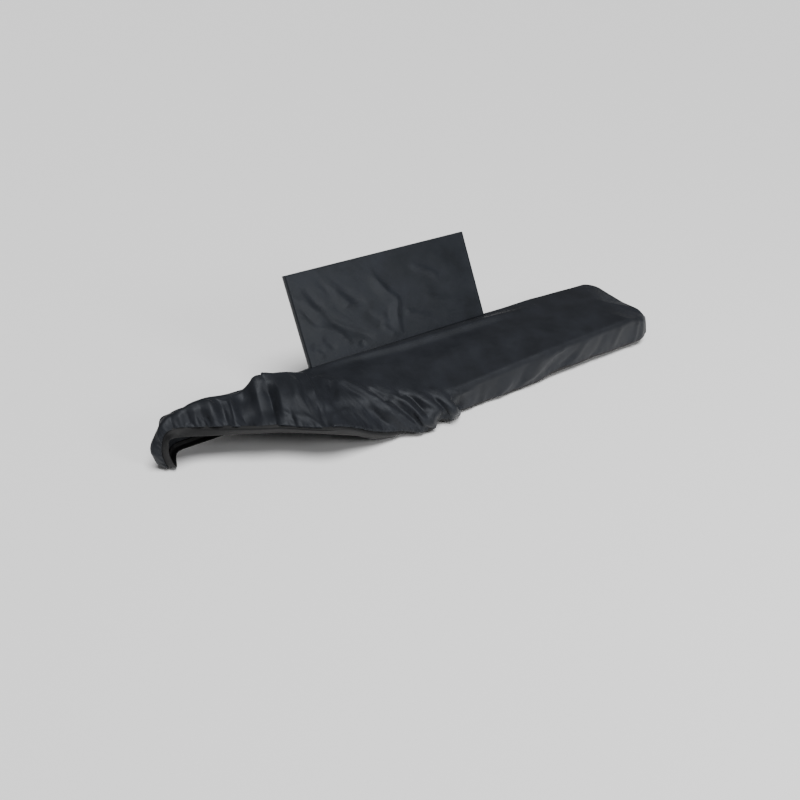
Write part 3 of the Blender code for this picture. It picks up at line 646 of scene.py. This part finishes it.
def sleeve_turn(across, up):
    """How far the panel has turned back to its seam: 1 on the seam at the sides and top, 0 on the face."""
    width = SLEEVE_RIGHT - SLEEVE_LEFT
    inward = np.minimum(np.minimum(across, width - across), SLEEVE_TALL - up)
    short = np.clip(1 - inward / SLEEVE_ROUNDING, 0.0, 1.0)
    return 1 - np.sqrt(np.maximum(0.0, 1 - short**2))


def spaced(runs):
    """Places from one stop to the next, each run cut up into even steps near the size that it asks for."""
    places = []
    for (start, step), (finish, _) in zip(runs, runs[1:]):
        count = max(1, round((finish - start) / step))
        places.extend(np.linspace(start, finish, count + 1)[:-1])
    return np.array(places)


def column_places():
    """Where the columns stand round the outline."""
    middle = BACK_FROM + SIDE
    right = BACK_FROM + 2 * SIDE
    return spaced((
        (0.0, FINE_STEP),
        (FINE_TO, CORNER_STEP),
        (BACK_FROM, COARSE_STEP),
        (middle + SLEEVE_LEFT - SLOT_MARGIN, COARSE_STEP),
        (middle + SLEEVE_RIGHT + SLOT_MARGIN, COARSE_STEP),
        (right, CORNER_STEP),
        (right + QUARTER, COARSE_STEP),
        (right + QUARTER + END, CORNER_STEP),
        (right + 2 * QUARTER + END, SKIRT_STEP),
        (PERIMETER, 0.0),
    ))


def ring_places():
    """Where the rings run, from the spine down to the hem."""
    rings = [start + i / count for start, count in enumerate(RUNS_DOWN) for i in range(count)]
    return np.sort([*rings, SLOT_FROM, float(len(RUNS_DOWN))])


def lengths_down(grid):
    """Distance along each column from the spine to each of its rings."""
    steps = np.linalg.norm(np.diff(grid, axis=1), axis=2)
    return np.concatenate((np.zeros((len(grid), 1)), np.cumsum(steps, axis=1)), axis=1)


def roof_profile(x):
    """The section of a fold: flat slopes that meet in a crisp edge and run out into the cloth."""
    slope = 1 - (np.sqrt(x**2 + ROOF_EDGE) - ROOF_CUT) / ROOF_RUN
    return 0.5 * (slope + np.sqrt(slope**2 + ROOF_FOOT))


def soft_profile(x):
    return np.exp(-x**2)


def fold_heights(grid, columns, rings, folds):
    """How far the folds of a table push each place of the body out."""
    flat = grid.reshape(-1, 3)
    height = np.zeros(len(flat))
    for fold in folds:
        at, down, keep = fold_curve(fold)
        curve = np.array([body_column(a, (d,))[0] for a, d in zip(at, down)])
        share = np.linspace(0, FOLD_POINTS - 1, FOLD_POINTS * FOLD_CUTS)
        curve = np.array([np.interp(share, range(FOLD_POINTS), curve[:, k]) for k in range(3)]).T
        keep = np.interp(share, range(FOLD_POINTS), keep)
        reach = FOLD_REACH * max(fold.near, fold.far)
        inside = (flat > curve.min(axis=0) - reach) & (flat < curve.max(axis=0) + reach)
        picked = np.where(inside.all(axis=1))[0]
        apart = np.linalg.norm(flat[picked, None, :] - curve, axis=2)
        gap = np.min(apart, axis=1)
        order = np.argsort(down)
        line = np.interp(rings[picked % len(rings)], down[order], at[order])
        beyond = signed_place(columns[picked // len(rings)] - line) > 0
        width = np.where(beyond, fold.far, fold.near)
        height[picked] += fold.height * keep[np.argmin(apart, axis=1)] * roof_profile(gap / width)
    return height.reshape(grid.shape[:2])


def gather_heights(columns, above_hem, spacing, height, reach, rng):
    """Puckers that run up from the hem, sharp at the stitches and dying out at their own lengths."""
    total = np.zeros(above_hem.shape)
    count = int(PERIMETER / spacing)
    for i in range(count):
        at = (i + rng.uniform(-PUCKER_SHIFT, PUCKER_SHIFT)) * PERIMETER / count
        lifted = 1.0 if at < FINE_TO else PUCKER_FLAT_SHARE
        tall = reach * rng.uniform(*PUCKER_TALL)
        push = height * rng.uniform(*PUCKER_DEPTH) * lifted
        slant = rng.uniform(-PUCKER_SLANT, PUCKER_SLANT)
        away = signed_place(columns - at)
        near = np.where(np.abs(away) < PUCKER_SPAN * spacing)[0]
        up = above_hem[near]
        off = away[near, None] - slant * up
        width = spacing * mix(*PUCKER_WIDTH, np.clip(up / tall, 0, 1))
        total[near] += push * np.exp(-(off / width) ** 2) * np.exp(-(up / tall) ** 2)
    return total


def creased(across, along, layer):
    """Uneven creases from about -1 to 1, with sharp ridges where the two sides of a smooth noise meet."""
    coarse = Vector((across, along, layer))
    fine = Vector((across * FINE_ACROSS, along * FINE_ALONG, layer + FINE_LAYER))
    first = 1 - CREASE_SHARPNESS * abs(noise.noise(coarse))
    second = 1 - CREASE_SHARPNESS * abs(noise.noise(fine))
    return COARSE_SHARE * first + FINE_SHARE * second - CREASE_LEVEL


def crease_heights(columns, length, strength):
    """Small creases that run the way the cloth is bunched, as strong in each place as strength says."""
    signed = signed_place(columns)
    lean = np.interp(signed, CREASE_LEAN_AT, CREASE_LEAN)
    result = np.zeros(length.shape)
    for i, j in zip(*np.where(strength > CREASE_LEAST)):
        across = signed[i] - lean[i] * (length[i, j] - length[i, -1])
        result[i, j] = creased(across * CREASE_ACROSS, length[i, j] * CREASE_ALONG, 1.0) * strength[i, j]
    return result * CREASE_HEIGHT


def wave_heights(grid):
    """Slow waves in the cloth everywhere."""
    height = np.zeros(grid.shape[:2])
    for i, j in np.ndindex(*height.shape):
        height[i, j] = noise.noise(Vector(grid[i, j]) * WAVE_SCALE) * WAVE_HEIGHT
    return height


def bunched(columns, rings):
    """How creased the cloth is: 1 where it is bunched up, little on the top that is pulled flat."""
    signed = signed_place(columns)
    after_right = soft_step((signed - BUNCHED_FROM) / BUNCHED_FADE)
    across = after_right * soft_step((BUNCHED_TO - signed) / BUNCHED_FADE)
    scrunched = 1 + SCRUNCHED_MORE * soft_profile((signed - SCRUNCHED_AT) / SCRUNCHED_WIDTH)
    down = soft_step((rings - CREASED_FROM_RING) / RING_FADE)
    skirts = SKIRT_CREASES * soft_step((rings - SKIRT_FROM_RING) / RING_FADE)
    return np.maximum((across * scrunched)[:, None] * down[None, :], skirts[None, :])


def body_grid(columns, rings):
    """Every place of the body's cloth, with all its folds, gathers and creases."""
    grid = grid_of(columns, rings, body_column)
    height = fold_heights(grid, columns, rings, FOLDS)
    grid = grid + surface_normals(grid, True) * height[:, :, None]
    height = fold_heights(grid, columns, rings, FINE_FOLDS)
    length = lengths_down(grid)
    above_hem = length[:, -1:] - length
    rng = random.Random(SEED)
    height += gather_heights(columns, above_hem, PLEAT_SPACING, PLEAT_HEIGHT, PLEAT_REACH, rng)
    height += gather_heights(columns, above_hem, GATHER_SPACING, GATHER_HEIGHT, GATHER_REACH, rng)
    height += crease_heights(columns, length, bunched(columns, rings))
    height += wave_heights(grid)
    return grid + surface_normals(grid, True) * height[:, :, None]


def band_place(at, down):
    """Places down one column of the elastic band, which starts behind the hem of the cloth."""
    _, belly, hem, band = section(at)
    way = unit(hem - belly)
    _, out = outline(at)
    inward = -np.array((*out, 0.0)) * BAND_SET_IN
    points = [hem - way * HEM_OVERLAP + inward, hem + way * BAND_TURN + inward / 2, band]
    return rounded_path(points, ((BAND_ROUNDING, BAND_ROUNDING),), down)


def mesh_object(name, places, faces, uvs, thickness, material):
    """A closed sheet of even thickness, with its lengths along the cloth in metres as its UV map."""
    sheet = bmesh.new()
    layer = sheet.loops.layers.uv.new("cloth")
    verts = [sheet.verts.new(place - ORIGIN) for place in places]
    for face in faces:
        made = sheet.faces.new([verts[i] for i in face])
        for loop, i in zip(made.loops, face):
            loop[layer].uv = uvs[i]
        made.smooth = True
    bmesh.ops.delete(sheet, geom=[vert for vert in sheet.verts if not vert.link_faces], context="VERTS")
    bmesh.ops.remove_doubles(sheet, verts=sheet.verts, dist=MERGE_DISTANCE)
    sheet.normal_update()
    mesh = bpy.data.meshes.new(name)
    sheet.to_mesh(mesh)
    sheet.free()
    mesh.materials.append(material)
    piece = bpy.data.objects.new(name, mesh)
    bpy.context.scene.collection.objects.link(piece)
    solidify = piece.modifiers.new("thickness", "SOLIDIFY")
    solidify.thickness = thickness
    solidify.offset = 0.0
    return piece


def closed_faces(columns, rings, left_out=None):
    """Faces of a grid whose last column meets its first."""
    count = len(columns)
    wide = len(rings)
    faces = []
    for i in range(count):
        for j in range(wide - 1):
            if left_out is None or not left_out(columns[i], rings[j]):
                after = (i + 1) % count
                faces.append((i * wide + j, after * wide + j, after * wide + j + 1, i * wide + j + 1))
    return faces


def slot_cell(at, down):
    """Whether the cell that starts at this column and ring lies in the slot under the sleeve."""
    x = at - BACK_FROM - SIDE
    under_sleeve = SLEEVE_LEFT - SLOT_MARGIN - SLOT_TOLERANCE < x < SLEEVE_RIGHT
    return under_sleeve and SLOT_FROM <= down < SLOT_TO


def spine_faces(grid):
    """Triangles across the spine, between the columns that start from its front and those from its back."""
    x = grid[:, 0, 0]
    right = int(np.argmax(x))
    left = int(np.argmin(x))
    count = len(grid)
    front = [(left - i) % count for i in range((left - right) % count + 1)]
    back = [(left + i) % count for i in range((right - left) % count + 1)]
    wide = grid.shape[1]
    faces = []
    i = j = 0
    while i < len(front) - 1 or j < len(back) - 1:
        back_done = j == len(back) - 1
        step_front = back_done or (i < len(front) - 1 and x[front[i + 1]] < x[back[j + 1]])
        ahead = front[i + 1] if step_front else back[j + 1]
        corners = (front[i] * wide, ahead * wide, back[j] * wide)
        if len(set(corners)) == 3:
            faces.append(corners)
        i += step_front
        j += not step_front
    return faces


def grid_uvs(columns, grid):
    length = lengths_down(grid)
    return [(columns[i], length[i, j]) for i in range(len(grid)) for j in range(grid.shape[1])]


def body_cloth(material):
    """The body: top, ends, front and back in one cloth, with the slot for the sleeve."""
    columns = column_places()
    rings = ring_places()
    grid = body_grid(columns, rings)
    faces = closed_faces(columns, rings, slot_cell)
    faces.extend(spine_faces(grid))
    uvs = grid_uvs(columns, grid)
    return mesh_object("body_cloth", grid.reshape(-1, 3), faces, uvs, CLOTH_THICKNESS, material), grid


def elastic_band(material):
    """The elastic webbing, stretched smooth round the whole opening."""
    columns = column_places()[::2]
    rings = np.array(BAND_RINGS)
    grid = grid_of(columns, rings, band_place)
    faces = closed_faces(columns, rings)
    uvs = grid_uvs(columns, grid)
    return mesh_object("elastic_band", grid.reshape(-1, 3), faces, uvs, BAND_THICKNESS, material)


def hem_stitches(grid, material):
    """A row of short thread stitches through the hem into the band."""
    hem = grid[:, -2]
    outward = surface_normals(grid, True)[:, -2]
    closed = np.vstack((hem, hem[:1]))
    travel = np.concatenate(([0.0], np.cumsum(np.linalg.norm(np.diff(closed, axis=0), axis=1))))
    count = int(travel[-1] / STITCH_PITCH)
    stitches = bmesh.new()
    for i in range(count):
        start = i * STITCH_PITCH
        first_end, last_end = (
            np.array([np.interp(start + run, travel, closed[:, k]) for k in range(3)])
            for run in (0.0, STITCH_LENGTH)
        )
        nearest = outward[np.searchsorted(travel, start) % len(hem)]
        lift = nearest * (CLOTH_THICKNESS / 2 + STITCH_RADIUS / 2)
        way = Vector(last_end - first_end)
        if way.length < STITCH_LENGTH / 4:
            continue
        side = way.normalized().cross(Vector(nearest)).normalized() * STITCH_RADIUS
        top = Vector(nearest) * STITCH_RADIUS
        rings = []
        for share, bulge in STITCH_SECTIONS:
            centre = Vector(mix(first_end, last_end, share) + lift - ORIGIN)
            rings.append([stitches.verts.new(centre + part * bulge) for part in (side, top, -side, -top)])
        for first, second in zip(rings, rings[1:]):
            for k in range(4):
                after = (k + 1) % 4
                stitches.faces.new((first[k], first[after], second[after], second[k]))
        stitches.faces.new(rings[0][::-1])
        stitches.faces.new(rings[-1])
    bmesh.ops.recalc_face_normals(stitches, faces=stitches.faces)
    mesh = bpy.data.meshes.new("hem_stitches")
    stitches.to_mesh(mesh)
    stitches.free()
    mesh.shade_smooth()
    mesh.materials.append(material)
    piece = bpy.data.objects.new("hem_stitches", mesh)
    bpy.context.scene.collection.objects.link(piece)
    return piece


def smooth_line(points, count=16):
    """Places on a smooth curve through points."""
    ends = [2 * points[0] - points[1], *points, 2 * points[-1] - points[-2]]
    line = []
    for a, b, c, d in zip(ends, ends[1:], ends[2:], ends[3:]):
        for t in np.linspace(0, 1, count, endpoint=False):
            bend = (2 * a - 5 * b + 4 * c - d) * t**2 + (3 * b - a - 3 * c + d) * t**3
            line.append(0.5 * (2 * b + (c - a) * t + bend))
    return np.array([*line, points[-1]])


def sleeve_heights(wide, tall, lines):
    """How far the creases of the table push each place of the panel out of its plane."""
    places = np.stack((wide, tall), axis=2)
    height = np.zeros(wide.shape)
    for line in lines:
        curve = smooth_line([np.array((x - SLEEVE_LEFT, up)) for x, up in line.points])
        way = np.gradient(curve, axis=0)
        apart = np.linalg.norm(places[:, :, None, :] - curve, axis=3)
        nearest = np.argmin(apart, axis=2)
        gap = np.min(apart, axis=2)
        off = places - curve[nearest]
        right = off[:, :, 0] * -way[nearest][:, :, 1] + off[:, :, 1] * way[nearest][:, :, 0] > 0
        share = nearest / (len(curve) - 1)
        keep = soft_step(share / LINE_FADE) * soft_step((1 - share) / LINE_FADE)
        height += line.height * keep * soft_profile(gap / np.where(right, line.right, line.left))
    return height


def sleeve_creases(wide, tall, layer):
    """Small creases of a panel, which lean and die out towards its right."""
    width = SLEEVE_RIGHT - SLEEVE_LEFT
    lean, rise = SLEEVE_CREASE_WAY
    height = np.zeros(wide.shape)
    for i, j in np.ndindex(*wide.shape):
        left = 1 - SLEEVE_FLATTER * soft_step((wide[i, j] / width - FLATTER_FROM) / FLATTER_FADE)
        across = (wide[i, j] * lean + tall[i, j] * rise) * SLEEVE_CREASE_ACROSS
        along = (tall[i, j] * lean - wide[i, j] * rise) * SLEEVE_CREASE_ALONG
        height[i, j] = creased(across, along, layer) * SLEEVE_CREASE * left
    return height


def seam_puckers(wide, tall):
    """The small puckers that run down from the seam along the sleeve's top."""
    return SEAM_PUCKER * np.sin(wide * SEAM_PUCKER_TURN) * np.exp((tall - SLEEVE_TALL) / SEAM_PUCKER_REACH)


def sleeve_panel(name, side, step, material):
    """One panel of the sleeve: side is 0 for the front and 1 for the back, each turned in to their seam."""
    width = SLEEVE_RIGHT - SLEEVE_LEFT
    edge = edge_steps(SLEEVE_ROUNDING, SLEEVE_EDGE_STEPS)
    inner = np.linspace(SLEEVE_ROUNDING, width - SLEEVE_ROUNDING, round(width / step) + 1)
    across = np.array([*edge, *inner, *(width - inset for inset in reversed(edge))])
    rise = np.linspace(0.0, SLEEVE_TALL - SLEEVE_ROUNDING, round(SLEEVE_TALL / step) + 1)
    foot = np.linspace(-SLEEVE_ROOT, 0.0, ROOT_STEPS, endpoint=False)
    up = np.array([*foot, *rise, *(SLEEVE_TALL - inset for inset in reversed(edge))])
    wide, tall = np.meshgrid(across, up, indexing="ij")
    turn = sleeve_turn(wide, tall)
    if side == 0:
        height = sleeve_heights(wide, tall, SLEEVE_LINES)
    else:
        height = BACK_LINE_SHARE * sleeve_heights(width - wide, tall, SLEEVE_LINES[:BACK_LINES])
    height += sleeve_creases(wide, tall, 3.0 + side)
    face = height * (1 - turn) * soft_step(tall / FOOT_FADE)
    puckers = seam_puckers(wide, tall) * (1 - 2 * side)
    back = mix(SLEEVE_DEEP * side, SLEEVE_DEEP * SEAM_SHARE, turn) - (face + puckers)
    grid = np.array([[sleeve_place(SLEEVE_LEFT + w, max(t, 0.0), b) for w, t, b in zip(*row)]
                     for row in zip(wide, tall, back)])
    below = np.maximum(-tall, 0.0)
    grid[:, :, 2] -= below
    grid[:, :, 1] -= side * np.minimum(below, ROOT_SET_IN)
    count = len(up)
    faces = []
    for i in range(len(across) - 1):
        for j in range(count - 1):
            corners = (i * count + j, (i + 1) * count + j, (i + 1) * count + j + 1, i * count + j + 1)
            faces.append(corners if side == 0 else corners[::-1])
    uvs = list(zip(wide.ravel(), tall.ravel()))
    return mesh_object(name, grid.reshape(-1, 3), faces, uvs, CLOTH_THICKNESS, material)


def link_nodes(tree, kind, inputs=None, links=(), **settings):
    """A new node with its settings, its own values and the sockets that feed it."""
    node = tree.nodes.new(kind)
    for key, value in settings.items():
        setattr(node, key, value)
    for key, value in (inputs or {}).items():
        node.inputs[key].default_value = value
    for key, source in links:
        tree.links.new(source, node.inputs[key])
    return node


def weave_height(tree, threads):
    """Crossing threads, as many to the metre as asked, from the lengths along the cloth."""
    where = link_nodes(tree, "ShaderNodeUVMap", uv_map="cloth")
    thread_form = {"Scale": threads * WAVE_SCALE_PER_BAND, "Distortion": 0.6, "Detail": 1.0}
    waves = [
        link_nodes(tree, "ShaderNodeTexWave", thread_form, [("Vector", where.outputs["UV"])],
                   wave_type="BANDS", bands_direction=direction)
        for direction in ("X", "Y")
    ]
    return link_nodes(tree, "ShaderNodeMath", None,
                      [(0, waves[0].outputs["Fac"]), (1, waves[1].outputs["Fac"])], operation="MULTIPLY")


def nylon(name, dark, light, roughness):
    """Plain-woven nylon: faint cloudy shade, fine threads, a satin gloss and a little fuzz."""
    material = bpy.data.materials.new(name)
    material.use_nodes = True
    tree = material.node_tree
    shader = tree.nodes["Principled BSDF"]
    place = link_nodes(tree, "ShaderNodeTexCoord")
    cloud = link_nodes(tree, "ShaderNodeTexNoise", {"Scale": 14.0, "Detail": 5.0, "Roughness": 0.6},
                       [("Vector", place.outputs["Object"])])
    shade = link_nodes(tree, "ShaderNodeValToRGB", None, [("Fac", cloud.outputs["Fac"])])
    shade.color_ramp.elements[0].position = 0.35
    shade.color_ramp.elements[0].color = (*dark, 1.0)
    shade.color_ramp.elements[1].position = 0.68
    shade.color_ramp.elements[1].color = (*light, 1.0)
    tree.links.new(shade.outputs["Color"], shader.inputs["Base Color"])
    spread = {"From Min": 0.3, "From Max": 0.7, "To Min": roughness - 0.05, "To Max": roughness + 0.06}
    worn = link_nodes(tree, "ShaderNodeMapRange", spread, [("Value", cloud.outputs["Fac"])])
    tree.links.new(worn.outputs["Result"], shader.inputs["Roughness"])
    weave = weave_height(tree, THREADS_PER_METRE)
    wrinkle = link_nodes(tree, "ShaderNodeTexNoise", {"Scale": 70.0, "Detail": 6.0, "Roughness": 0.62},
                         [("Vector", place.outputs["Object"])])
    fine = link_nodes(tree, "ShaderNodeBump", {"Strength": 0.35, "Distance": 0.00012},
                      [("Height", weave.outputs["Value"])])
    bump = link_nodes(tree, "ShaderNodeBump", {"Strength": 0.22, "Distance": 0.0009},
                      [("Height", wrinkle.outputs["Fac"]), ("Normal", fine.outputs["Normal"])])
    tree.links.new(bump.outputs["Normal"], shader.inputs["Normal"])
    shader.inputs["Specular IOR Level"].default_value = 0.29
    shader.inputs["Specular Tint"].default_value = (0.90, 0.94, 1.0, 1.0)
    shader.inputs["Sheen Weight"].default_value = 0.02
    shader.inputs["Sheen Roughness"].default_value = 0.45
    return material


def webbing():
    """Knitted elastic: fine lengthwise ribs and a dull face."""
    material = bpy.data.materials.new("elastic_webbing")
    material.use_nodes = True
    tree = material.node_tree
    shader = tree.nodes["Principled BSDF"]
    where = link_nodes(tree, "ShaderNodeUVMap", uv_map="cloth")
    ribs = link_nodes(tree, "ShaderNodeTexWave", {"Scale": 110.0, "Distortion": 0.4, "Detail": 2.0},
                      [("Vector", where.outputs["UV"])], wave_type="BANDS", bands_direction="Y")
    shade = link_nodes(tree, "ShaderNodeValToRGB", None, [("Fac", ribs.outputs["Fac"])])
    shade.color_ramp.elements[0].color = (0.004, 0.004, 0.0045, 1.0)
    shade.color_ramp.elements[1].color = (0.009, 0.0092, 0.010, 1.0)
    tree.links.new(shade.outputs["Color"], shader.inputs["Base Color"])
    bump = link_nodes(tree, "ShaderNodeBump", {"Strength": 0.5, "Distance": 0.0003},
                      [("Height", ribs.outputs["Fac"])])
    tree.links.new(bump.outputs["Normal"], shader.inputs["Normal"])
    shader.inputs["Roughness"].default_value = 0.60
    shader.inputs["Specular IOR Level"].default_value = 0.30
    shader.inputs["Sheen Weight"].default_value = 0.03
    return material


def thread():
    """Dark polyester sewing thread."""
    material = bpy.data.materials.new("thread")
    material.use_nodes = True
    tree = material.node_tree
    shader = tree.nodes["Principled BSDF"]
    place = link_nodes(tree, "ShaderNodeTexCoord")
    twist = link_nodes(tree, "ShaderNodeTexNoise", {"Scale": 900.0}, [("Vector", place.outputs["Object"])])
    shade = link_nodes(tree, "ShaderNodeValToRGB", None, [("Fac", twist.outputs["Fac"])])
    shade.color_ramp.elements[0].color = (0.020, 0.021, 0.024, 1.0)
    shade.color_ramp.elements[1].color = (0.070, 0.072, 0.080, 1.0)
    tree.links.new(shade.outputs["Color"], shader.inputs["Base Color"])
    shader.inputs["Roughness"].default_value = 0.6
    return material


def pale_floor():
    """A plain pale floor just under the hem."""
    low = CAD_BOX[0][2] - FLOOR_DROP
    bpy.ops.mesh.primitive_plane_add(size=FLOOR_SIZE, location=(0.0, 0.0, low))
    floor = bpy.context.object
    floor.name = "floor"
    material = bpy.data.materials.new("floor_paint")
    material.use_nodes = True
    shader = material.node_tree.nodes["Principled BSDF"]
    shader.inputs["Base Color"].default_value = (0.90, 0.90, 0.90, 1.0)
    shader.inputs["Roughness"].default_value = 0.9
    floor.data.materials.append(material)


def area_light(name, place, size, power, aim=(0.0, 0.0, 0.0)):
    """A soft square light at a place in the row's frame, turned to face aim."""
    lamp = bpy.data.lights.new(name, "AREA")
    lamp.size = size
    lamp.energy = power
    holder = bpy.data.objects.new(name, lamp)
    holder.location = place
    holder.rotation_euler = (Vector(aim) - Vector(place)).to_track_quat("-Z", "Y").to_euler()
    bpy.context.scene.collection.objects.link(holder)


def sun_light(name, direction, strength, spread, shine=True):
    """A far soft light from a direction, spread over so many degrees, that shows in a shine or not."""
    lamp = bpy.data.lights.new(name, "SUN")
    lamp.energy = strength
    lamp.angle = math.radians(spread)
    holder = bpy.data.objects.new(name, lamp)
    holder.rotation_euler = Vector(direction).to_track_quat("Z", "Y").to_euler()
    holder.visible_glossy = shine
    bpy.context.scene.collection.objects.link(holder)


def studio():
    """A white room: a dim surround, wide light from above and a small lamp at the front right."""
    world = bpy.data.worlds.new("studio")
    world.use_nodes = True
    background = world.node_tree.nodes["Background"]
    background.inputs["Color"].default_value = (1.0, 1.0, 1.0, 1.0)
    background.inputs["Strength"].default_value = SURROUND_STRENGTH
    bpy.context.scene.world = world
    area_light("key", KEY_PLACE, KEY_SIZE, KEY_POWER)
    sun_light("above", ABOVE, ABOVE_STRENGTH, ABOVE_SPREAD)
    sun_light("fill", ABOVE, FILL_STRENGTH, ABOVE_SPREAD, shine=False)


def camera():
    lens = bpy.data.cameras.new("camera")
    lens.lens = CAMERA_LENS
    lens.sensor_width = SENSOR
    holder = bpy.data.objects.new("camera", lens)
    holder.location = CAMERA_PLACE - ORIGIN
    holder.rotation_euler = Euler([math.radians(angle) for angle in CAMERA_TURN], "XYZ")
    bpy.context.scene.collection.objects.link(holder)
    bpy.context.scene.camera = holder


cloth = nylon("cover_nylon", BODY_DARK, BODY_LIGHT, BODY_ROUGHNESS)
sleeve_cloth = nylon("sleeve_nylon", SLEEVE_DARK, SLEEVE_LIGHT, SLEEVE_ROUGHNESS)
body, body_places = body_cloth(cloth)
sleeve_front = sleeve_panel("sleeve_front", 0, SLEEVE_STEP, sleeve_cloth)
sleeve_back = sleeve_panel("sleeve_back", 1, SLEEVE_BACK_STEP, sleeve_cloth)
band = elastic_band(webbing())
stitches = hem_stitches(body_places, thread())

for piece, node in (
    (body, "body_panel"),
    (sleeve_front, "rest_sleeve_front"),
    (sleeve_back, "rest_sleeve_back"),
    (band, "hem_elastic"),
):
    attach(piece, "root")
    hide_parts(node)
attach(stitches, "root")

pale_floor()
studio()
camera()
